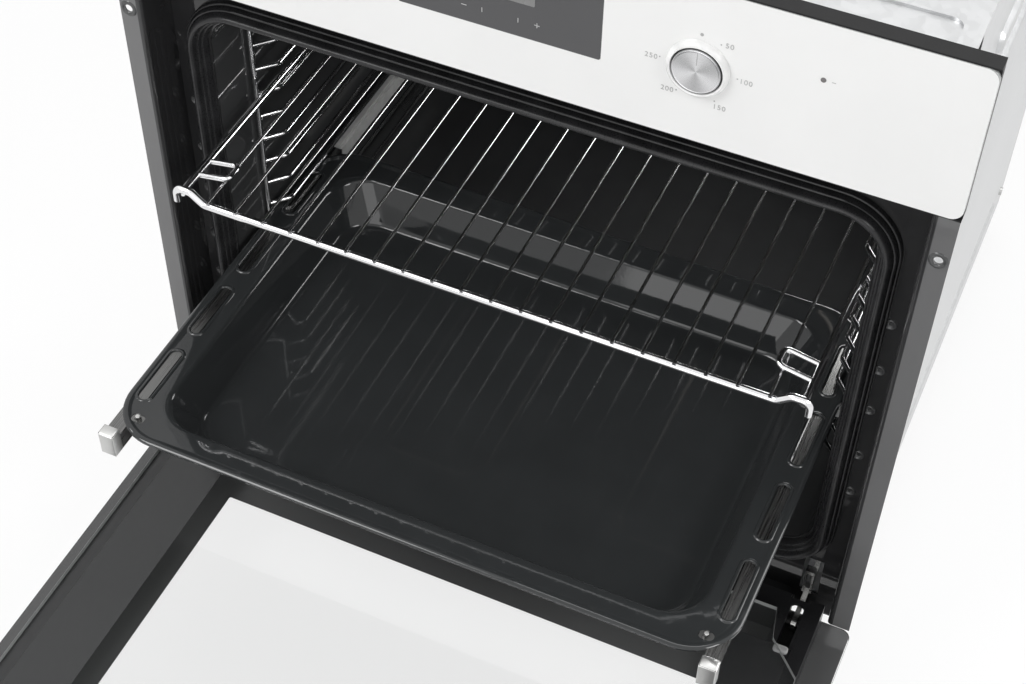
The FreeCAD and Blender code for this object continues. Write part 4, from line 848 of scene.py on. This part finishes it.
class OVEN_OT_signs(bpy.types.Operator):
    """Print the dials' numbers and dots, and the clock window's signs."""

    bl_idname = "oven.signs"
    bl_label = "Printed signs"

    # Number and its place from the knob's axis, in millimetres
    numbers = (("50", 17.3, 21.2), ("100", 29.6, -1.0), ("150", 15.5, -25.0), ("200", -17.8, -22.0),
               ("250", -29.6, -1.0))
    # Angles of the small dots, in degrees clockwise from the top
    temperature_angles = (30.0, 90.0, 150.0, 210.0, 270.0)
    function_angles = (-120.0, -90.0, -60.0, -30.0, 30.0, 60.0, 90.0, 120.0)
    # Place from the clock window's middle and half sizes of each stroke, in millimetres
    strokes = ((-22.6, -16.0, 1.8, 0.22), (-10.5, -16.0, 0.22, 1.7), (13.5, -16.0, 0.22, 1.7),
               (26.0, -16.0, 1.8, 0.22), (26.0, -16.0, 0.22, 1.8))
    # The same from the signal lens
    lens_stroke = (6.2, 0.0, 1.2, 0.22)
    stroke_corner = 0.0001
    top_dot_radius = 0.0011
    dot_steps = 20
    display_half, display_corner, display_rise = (0.0243, 0.0115), 0.001, 0.0085
    # Text size over the height of its numbers, and the space between them
    text_share, text_space = 1.4, 1.15

    def execute(self, context):
        sizes = context.scene.oven_sizes
        knob = centre_of("temperature_knob")
        marks = self.dots(knob, (0.0,), self.top_dot_radius, sizes)
        marks += self.dots(knob, self.temperature_angles, sizes.dot_radius, sizes)
        for text, across, above in self.numbers:
            marks.append(self.number(text, knob.x + across * MM, knob.z + above * MM, sizes))
        marks.append(self.stroke(centre_of("signal_lens"), self.lens_stroke, sizes))
        dress("temperature_dial_print", marks, "sign", "housing", "white_glass")
        knob = centre_of("function_knob")
        marks = self.dots(knob, (0.0,), self.top_dot_radius, sizes)
        marks += self.dots(knob, self.function_angles, sizes.dot_radius, sizes)
        dress("function_dial_print", marks, "sign", "housing", "white_glass")
        window = centre_of("clock_window")
        marks = [self.stroke(window, stroke, sizes) for stroke in self.strokes]
        dress("clock_signs", marks, "pale_sign", "housing", "window_glass")
        display = stack("display", ORIGIN, self.display_half, self.display_corner, self.levels(sizes),
                        steps=4)
        stand_up(display, (window.x, PANEL_FRONT, window.z + self.display_rise))
        dress("clock_lcd", [display], "lcd", "housing", "window_glass")
        return {"FINISHED"}

    def levels(self, sizes):
        """Back and face of a print."""
        return ((0.0, 0.0), (0.0, sizes.print_gauge / MM))

    def dots(self, knob, angles, radius, sizes):
        """Round dots on a knob's dial, at angles clockwise from the top."""
        rings = [(radius, height, self.dot_steps) for height in (0.0, sizes.print_gauge)]
        dot = build("dot", round_ring, rings)
        places = []
        for turn in map(math.radians, angles):
            across, above = sizes.dial_radius * math.sin(turn), sizes.dial_radius * math.cos(turn)
            places.append((knob.x + across, PANEL_FRONT, knob.z + above))
        return copies(dot, places)

    def stroke(self, middle, shape, sizes):
        """One straight stroke beside a middle."""
        across, above, half_x, half_z = (number * MM for number in shape)
        piece = stack("stroke", ORIGIN, (half_x, half_z), self.stroke_corner, self.levels(sizes), steps=2)
        return stand_up(piece, (middle.x + across, PANEL_FRONT, middle.z + above))

    def number(self, text, x, z, sizes):
        """One number of the dial."""
        deselect()
        bpy.ops.object.text_add()
        words = bpy.context.object.data
        words.body = text
        words.size = sizes.numeral_height * self.text_share
        words.align_x = "CENTER"
        words.align_y = "CENTER"
        words.space_character = self.text_space
        words.extrude = sizes.print_gauge / 2
        bpy.ops.object.convert(target="MESH")
        return stand_up(bpy.context.object, (x, PANEL_FRONT - sizes.print_gauge / 2, z))


class OVEN_OT_door_prints(bpy.types.Operator):
    """Print the borders of the door's panes."""

    bl_idname = "oven.door_prints"
    bl_label = "Door borders"

    edge = 0.0006
    window_corner, opening_corner, outer_corner, inner_corner = 0.0015, 0.006, 0.0075, 0.002
    # The inner opening is longer than the window, and the inner print shorter than its pane, at each end
    opening_gain, inner_setback = 0.012, 0.015
    inner_shift = -0.014
    # Depth of each print under a face of its pane, and lift of its inner edge, in gauges of the print
    white_depth, backing_depth, inner_depth, edge_lift = 3.0, 1.5, 2.0, 0.25
    steps = 8

    def execute(self, context):
        sizes = context.scene.oven_sizes
        gauge = sizes.print_gauge
        low, high = corners("door_outer_glass")
        hinge = [joint for joint in frame["joints"] if joint["name"] == "door_hinge"][0]["pos_m"]
        rear = hinge[1] + hinge[2] - sizes.window_start
        front = low.y + sizes.window_end
        middle, reach = (0.0, (rear + front) / 2), (rear - front) / 2
        window = (middle, sizes.window_half, reach, self.window_corner)
        outer = ((0.0, (low.y + high.y) / 2), high.x - self.edge, (high.y - low.y) / 2 - self.edge,
                 self.outer_corner)
        white = self.border(outer, window, high.z - self.white_depth * gauge, gauge)
        dress("door_white_border", [white], "white_print", "door", "door_glass")
        backing = self.border(outer, window, high.z - self.backing_depth * gauge, gauge)
        dress("door_black_backing", [backing], "grey_print", "door", "door_glass")
        low, high = corners("door_inner_glass")
        opening = (middle, sizes.border_half, reach + self.opening_gain, self.opening_corner)
        pane = ((0.0, (low.y + high.y) / 2 + self.inner_shift), high.x - self.edge,
                (high.y - low.y) / 2 - self.inner_setback - self.edge, self.inner_corner)
        inner = self.border(pane, opening, low.z - self.inner_depth * gauge, gauge)
        dress("inner_pane_border", [inner], "black_print", "door", "clear_glass")
        return {"FINISHED"}

    def border(self, outer, inner, height, gauge):
        """A flat frame between two rounded rectangles, one gauge thick."""
        rings = ((*outer, height, self.steps), (*inner, height + self.edge_lift * gauge, self.steps))
        piece = build("border", rounded_ring, rings, (False, False))
        apply_modifier(piece, "SOLIDIFY", thickness=gauge, offset=1.0)
        return piece


class OVEN_OT_glass_edges(bpy.types.Operator):
    """Ground edges of the panes."""

    bl_idname = "oven.glass_edges"
    bl_label = "Glass edges"

    # Pane, the axis it looks along, finish, body and slot
    panes = (("control_panel_glass", 1, "glass_edge", "housing", "white_glass"),
             ("door_inner_glass", 2, "glass_edge", "door", "clear_glass"),
             ("door_outer_glass", 2, "black_print", "door", "door_glass"))

    def execute(self, context):
        for node, axis, coat, body, slot in self.panes:
            band = edge_band(node, axis, context.scene.oven_sizes.print_gauge)
            dress(f"{node}_edge", [band], coat, body, slot)
        return {"FINISHED"}


class OVEN_OT_frame_details(bpy.types.Operator):
    """Pressed buttons on the frame's face, rings round the screw holes and the rails' end caps."""

    bl_idname = "oven.frame_details"
    bl_label = "Frame details"

    # Radius and height off the sheet, in millimetres
    button_profile = ((4.9, -0.2), (4.6, 0.7), (4.0, 1.2), (3.3, 1.1), (2.6, 0.4), (1.2, 0.1))
    ring_profile = ((6.4, 0.0), (6.0, 0.6), (5.2, 0.9), (4.2, 0.7), (3.5, 0.2), (3.1, -0.8))
    pin_profile = ((2.4, -3.0), (2.4, 2.4), (2.1, 2.9), (1.2, 3.1))
    button_heights = (0.153, 0.195, 0.245, 0.287, 0.333)
    button_x = 0.2667
    button_steps, ring_steps = 24, 40
    cap_half, cap_corner = (0.006, 0.0046), 0.001
    # What the cap stands proud of the rail, and the foot and height of its chamfers, in millimetres
    cap_proud, cap_foot, cap_chamfer = 0.3, 0.6, 0.5
    pin_seat = 0.0053

    def execute(self, context):
        sizes = context.scene.oven_sizes
        face_y = corners("door_gasket")[1].y
        screws = [mount for mount in frame["record"]["mounts"] if mount["name"] == "cabinet_screws"][0]
        screw_x = screws["dims"]["spacing_x_mm"] / 2 * MM
        screw_z = screws["pos_m"][2]
        flange_y = PANEL_FRONT + sizes.flange_setback
        pin_y = corners("baking_tray")[0].y + sizes.pin_setback
        low, high = corners("rail_slide_right")
        buttons, rings, caps, pins = [], [], [], []
        for side in SIDES.values():
            buttons += [(side * self.button_x, face_y, height) for height in self.button_heights]
            rings.append((side * screw_x, flange_y, screw_z))
            caps.append((side * (high.x - self.cap_half[0]), low.y + self.cap_half[1], low.z))
            pins.append((side * sizes.pin_offset, pin_y, high.z - self.pin_seat))
        button = smooth(turned("button", self.button_profile, True, self.button_steps), SOFT)
        dress("frame_buttons", copies(button, buttons), "cavity_enamel", "housing", "grey_enamel")
        ring = smooth(turned("ring", self.ring_profile, False, self.ring_steps), SOFT)
        dress("screw_hole_rings", copies(ring, rings), "cavity_enamel", "housing", "grey_enamel")
        rise = (high.z - low.z) / MM
        levels = ((self.cap_foot, -self.cap_proud), (-self.cap_proud, self.cap_chamfer),
                  (-self.cap_proud, rise - self.cap_chamfer), (self.cap_foot, rise + self.cap_proud))
        cap = smooth(stack("cap", ORIGIN, self.cap_half, self.cap_corner, levels, steps=4), EVEN)
        pin = turned("pin", self.pin_profile, True, self.button_steps)
        for name, *pieces in zip(SIDES, copies(cap, caps, UPWARD), copies(pin, pins, UPWARD)):
            dress(f"rail_cap_{name}", pieces, "cap_zinc", "tray_carriage", "rail_steel")
        return {"FINISHED"}


class OVEN_OT_hinge_covers(bpy.types.Operator):
    """Plastic covers with a slot over the door's hinge channels, and the grey pieces at the slots' ends."""

    bl_idname = "oven.hinge_covers"
    bl_label = "Hinge covers"

    # From the outer side of the channels to the covers' middle, and from the channels' rear to the rest
    inset = 0.0075
    rear_setback, slot_setback = 0.003, 0.053
    # What the cover has past the slot's ends, its drop under the inner pane and its half width
    front_land, rear_land, drop = 0.012, 0.004, 0.0003
    cover_half, cover_corner = 0.0125, 0.002
    slot_half, slot_corner = 0.0052, 0.004
    # Depth of the walls and height of the slot's edge, in millimetres
    wall, slot_edge = -3.0, 0.05
    end_half, end_corner, end_shift = (0.0058, 0.0034), 0.0026, 0.0005
    end_levels = ((0.0, -2.0), (0.0, 1.6), (0.6, 2.2))
    steps = 6

    def execute(self, context):
        channels = corners("hinge_channels")[1]
        top = corners("door_inner_glass")[0].z - self.drop
        slot_end, rear = channels.y - self.slot_setback, channels.y - self.rear_setback
        front, slot_rear = slot_end - self.front_land, rear - self.rear_land
        cover = ((0.0, (front + rear) / 2), self.cover_half, (rear - front) / 2, self.cover_corner)
        slot = ((0.0, (slot_end + slot_rear) / 2), self.slot_half, (slot_rear - slot_end) / 2,
                self.slot_corner)
        levels = ((cover, self.wall), (cover, 0.0), (slot, self.slot_edge), (slot, self.wall))
        rings = [(*shape, top + height * MM, self.steps) for shape, height in levels]
        cover = smooth(build("cover", rounded_ring, rings, (False, False)), CRISP)
        end = stack("end", (0.0, slot_end + self.end_shift, top), self.end_half, self.end_corner,
                    self.end_levels, self.steps)
        places = [(side * (channels.x - self.inset), 0.0, 0.0) for side in SIDES.values()]
        rows = zip(SIDES, copies(cover, places, UPWARD), copies(smooth(end, EVEN), places, UPWARD))
        for name, cover, end in rows:
            dress(f"hinge_cover_{name}", [cover], "door_plastic", "door", "black_plastic")
            dress(f"hinge_slot_end_{name}", [end], "lip_grey", "door", "hinge_steel")
        return {"FINISHED"}


class OVEN_OT_pressings(bpy.types.Operator):
    """Pressed fields and beads that stiffen the casing's sheets, and the terminal box's lid."""

    bl_idname = "oven.pressings"
    bl_label = "Casing pressings"

    # Distance in from the foot and height off the sheet, in millimetres
    profile = ((0.0, -0.3), (0.8, 0.6), (2.4, 2.6), (3.6, 3.6), (5.4, 4.0))
    lid_profile = ((0.0, -0.3), (0.0, 1.2), (0.6, 1.8), (1.4, 2.0))
    screw_profile = ((2.6, 1.8), (2.6, 2.6), (2.0, 3.2), (1.1, 3.3), (0.9, 2.7))
    screw_steps = 24
    corner = 0.03
    bead_half, bead_corner = 0.009, 0.00882
    # Sheet left round the side's field, and the beads' shortening and distance from it
    side_margin, side_bead_cut, side_bead_gap = (0.07, 0.11), 0.02, 0.035
    rear_half, rear_corner = (0.125, 0.125), 0.12
    rear_bead, rear_bead_x = 0.13, 0.2
    top_margin, top_reach, top_y = 0.08, 0.11, -0.01
    lid_margin, lid_corner, lid_screw_inset = 0.002, 0.004, 0.008

    def execute(self, context):
        self.side_pressings()
        motor, rear = centre_of("fan_motor"), corners("rear_panel")[1].y
        field = self.pressing("field", self.rear_half, self.rear_corner)
        bead = self.pressing("bead", (self.bead_half, self.rear_bead), self.bead_corner)
        spots = [(motor.x + side * self.rear_bead_x, rear, motor.z) for side in SIDES.values()]
        self.finished("rear_pressing", [stand_up(field, (motor.x, rear, motor.z), REARWARD),
                                        *copies(bead, spots, REARWARD)])
        top = corners("top_cover")[1]
        field = self.pressing("field", (top.x - self.top_margin, self.top_reach), self.corner)
        self.finished("top_pressing", [stand_up(field, (0.0, self.top_y, top.z), UPWARD)])
        self.terminal_lid()
        return {"FINISHED"}

    def pressing(self, name, half, radius, profile=profile):
        """A field that stands a little proud of its sheet, lying flat."""
        piece = stack(name, ORIGIN, half, radius, profile, closed=(False, True), rounding=1.0)
        return smooth(piece, EVEN)

    def finished(self, name, pieces):
        """Dress the pressings of one sheet."""
        dress(name, pieces, "sheet", "housing", "galvanised")

    def side_pressings(self):
        """A field and two beads on each side panel."""
        low, high = corners("side_panel_right")
        middle, half = (low + high) / 2, (high - low) / 2
        reach, rise = half.y - self.side_margin[0], half.z - self.side_margin[1]
        field = self.pressing("field", (reach, rise), self.corner)
        bead = self.pressing("bead", (reach - self.side_bead_cut, self.bead_half), self.bead_corner)
        spots = [(0.0, way * (rise + self.side_bead_gap), 0.0) for way in (-1, 1)]
        panel = join([field, *copies(bead, spots, UPWARD)])
        for (name, side), piece in zip(SIDES.items(), duplicates(panel, len(SIDES))):
            stand_up(piece, (side * high.x, middle.y, middle.z), (90.0, 0.0, 90.0 * side))
            self.finished(f"side_pressing_{name}", [piece])

    def terminal_lid(self):
        """The terminal box's lid with its two screws."""
        low, high = corners("terminal_box")
        middle, half = (low + high) / 2, (high - low) / 2
        half_x, half_z = half.x - self.lid_margin, half.z - self.lid_margin
        lid = self.pressing("lid", (half_x, half_z), self.lid_corner, self.lid_profile)
        stand_up(lid, (middle.x, high.y, middle.z), REARWARD)
        dress("terminal_lid", [lid], "charcoal", "housing", "black_plastic")
        screw = smooth(turned("screw", self.screw_profile, True, self.screw_steps), EVEN)
        reach = half_x - self.lid_screw_inset
        spots = [(middle.x + side * reach, high.y, middle.z) for side in SIDES.values()]
        screws = copies(screw, spots, REARWARD)
        dress("terminal_lid_screws", screws, "hinge_zinc", "housing", "hinge_steel")


class OVEN_OT_stage(bpy.types.Operator):
    """Set the floor, the plinth, the lights, the white surroundings and the camera."""

    bl_idname = "oven.stage"
    bl_label = "Stage"

    # Name, place, the point it looks at, size and power
    lamps = (("key_light", (-1.3, -1.7, 2.4), (0.0, -0.35, 0.3), 1.2, 37.0),
             ("fill_light", (1.9, -1.2, 1.9), (0.0, -0.3, 0.3), 0.7, 14.0),
             ("cavity_light", CAVITY_LIGHT, (-0.2, -0.3, 0.2), 0.14, 0.6),
             ("front_light", (0.1, -2.3, 0.75), (0.0, 0.0, 0.3), 1.2, 7.0),
             ("top_light", (0.0, 0.6, 2.7), (0.0, 0.0, 0.4), 1.1, 17.0),
             ("left_spark", (-1.9, -0.7, 1.7), (0.0, -0.35, 0.25), 0.22, 3.5),
             ("right_spark", (1.64, 0.42, 1.24), (0.2, -0.5, 0.2), 0.9, 12.0))
    floor_size, floor_gap = 40.0, 0.004
    plinth_share = (0.9, 0.86)
    # Strength of the surroundings for soft light, and share of the floor's own glow
    soft_light, floor_glow = 0.42, 0.86

    def execute(self, context):
        scene = context.scene
        scene.view_settings.view_transform = "Standard"
        self.surroundings(scene)
        floor_z = CAD_BOX[0][2] - self.floor_gap
        deselect()
        bpy.ops.mesh.primitive_plane_add(size=self.floor_size, location=(0.0, 0.0, floor_z))
        floor = context.object
        floor.name = "floor"
        deselect()
        low, high = corners("base_plate")
        bpy.ops.mesh.primitive_cube_add(size=1.0, location=(0.0, 0.0, floor_z / 2))
        plinth = context.object
        plinth.name = "plinth"
        across, along = self.plinth_share
        plinth.dimensions = ((high.x - low.x) * across, (high.y - low.y) * along, -floor_z)
        bpy.ops.object.transform_apply(location=True, rotation=True, scale=True)
        for piece in (floor, plinth):
            piece.data.materials.append(self.pale())
        for lamp in self.lamps:
            self.lamp(*lamp)
        self.camera(scene)
        return {"FINISHED"}

    def surroundings(self, scene):
        """White surroundings for the eye, gloss and glass, and a softer light for the rest."""
        world = bpy.data.worlds.new("studio")
        scene.world = world
        world.use_nodes = True
        tree = world.node_tree
        strength = add_node(tree, "ShaderNodeMapRange", Value=self.seen(tree), To_Min=self.soft_light,
                            To_Max=1.0)
        background = tree.nodes["Background"].inputs
        feed(tree, background["Strength"], strength.outputs["Result"])
        feed(tree, background["Color"], (1.0, 1.0, 1.0, 1.0))

    def seen(self, tree):
        """One where the eye, a reflection or a view through glass meets the surface."""
        path = tree.nodes.new("ShaderNodeLightPath")
        total = path.outputs["Is Camera Ray"]
        for label in ("Is Glossy Ray", "Is Transmission Ray"):
            total = operation(tree, "ShaderNodeMath", "MAXIMUM", total, path.outputs[label]).outputs[0]
        return total

    def pale(self):
        """Pale floor that stays near white to the eye and keeps the shadow."""
        material = plain_finish("pale_floor", (0.9, 0.9, 0.9), roughness=0.8)
        tree = material.node_tree
        glow = tree.nodes.new("ShaderNodeEmission")
        mix = tree.nodes.new("ShaderNodeMixShader")
        share = operation(tree, "ShaderNodeMath", "MULTIPLY", self.seen(tree), self.floor_glow)
        for number, node in enumerate((share, tree.nodes["Principled BSDF"], glow)):
            tree.links.new(node.outputs[0], mix.inputs[number])
        tree.links.new(mix.outputs[0], tree.nodes["Material Output"].inputs["Surface"])
        return material

    def lamp(self, name, place, target, size, power):
        """A soft square lamp that looks at a point."""
        deselect()
        bpy.ops.object.light_add(type="AREA", location=place)
        lamp = bpy.context.object
        lamp.name = name
        lamp.data.size = size
        lamp.data.energy = power
        lamp.rotation_euler = (Vector(target) - Vector(place)).to_track_quat("-Z", "Y").to_euler()

    def camera(self, scene):
        """The camera at the photograph's viewing angle."""
        view = scene.oven_view
        level = math.cos(view.pitch)
        ahead = Vector((-math.sin(view.yaw) * level, math.cos(view.yaw) * level, -math.sin(view.pitch)))
        across = ahead.cross(Vector((0.0, 0.0, 1.0))).normalized()
        above = across.cross(ahead)
        right = across * math.cos(view.roll) + above * math.sin(view.roll)
        up = above * math.cos(view.roll) - across * math.sin(view.roll)
        turn = Matrix((right, up, -ahead)).transposed()
        deselect()
        bpy.ops.object.camera_add(location=view.place, rotation=turn.to_euler())
        camera = bpy.context.object
        camera.data.sensor_width = view.sensor
        camera.data.lens = view.lens
        scene.camera = camera


class OVEN_PT_dressing(bpy.types.Panel):
    """Lists the oven's pieces and their sizes."""

    bl_label = "Oven"
    bl_idname = "OVEN_PT_dressing"
    bl_space_type = "VIEW_3D"
    bl_region_type = "UI"
    bl_category = "Oven"

    def draw(self, context):
        for operator in OPERATORS:
            self.layout.operator(operator.bl_idname)
        for group in (context.scene.oven_sizes, context.scene.oven_colours, context.scene.oven_view):
            for label in group.__annotations__:
                self.layout.prop(group, label)


OPERATORS = (OVEN_OT_finishes, OVEN_OT_tray, OVEN_OT_gasket, OVEN_OT_knobs, OVEN_OT_signs,
             OVEN_OT_door_prints, OVEN_OT_glass_edges, OVEN_OT_frame_details, OVEN_OT_hinge_covers,
             OVEN_OT_pressings, OVEN_OT_stage)
GROUPS = {"oven_sizes": OvenSizes, "oven_colours": OvenColours, "oven_view": OvenView}


def register():
    """Register the classes and the scene's settings."""
    for group in (*GROUPS.values(), *OPERATORS, OVEN_PT_dressing):
        bpy.utils.register_class(group)
    for label, group in GROUPS.items():
        setattr(bpy.types.Scene, label, PointerProperty(type=group))


def unregister():
    """Take the classes and settings away again."""
    for label in GROUPS:
        delattr(bpy.types.Scene, label)
    for group in (OVEN_PT_dressing, *reversed(OPERATORS), *reversed(GROUPS.values())):
        bpy.utils.unregister_class(group)


def main():
    """Dress the oven."""
    register()
    for operator in OPERATORS:
        family, name = operator.bl_idname.split(".")
        getattr(getattr(bpy.ops, family), name)()
    deselect()


if __name__ == "__main__":
    main()
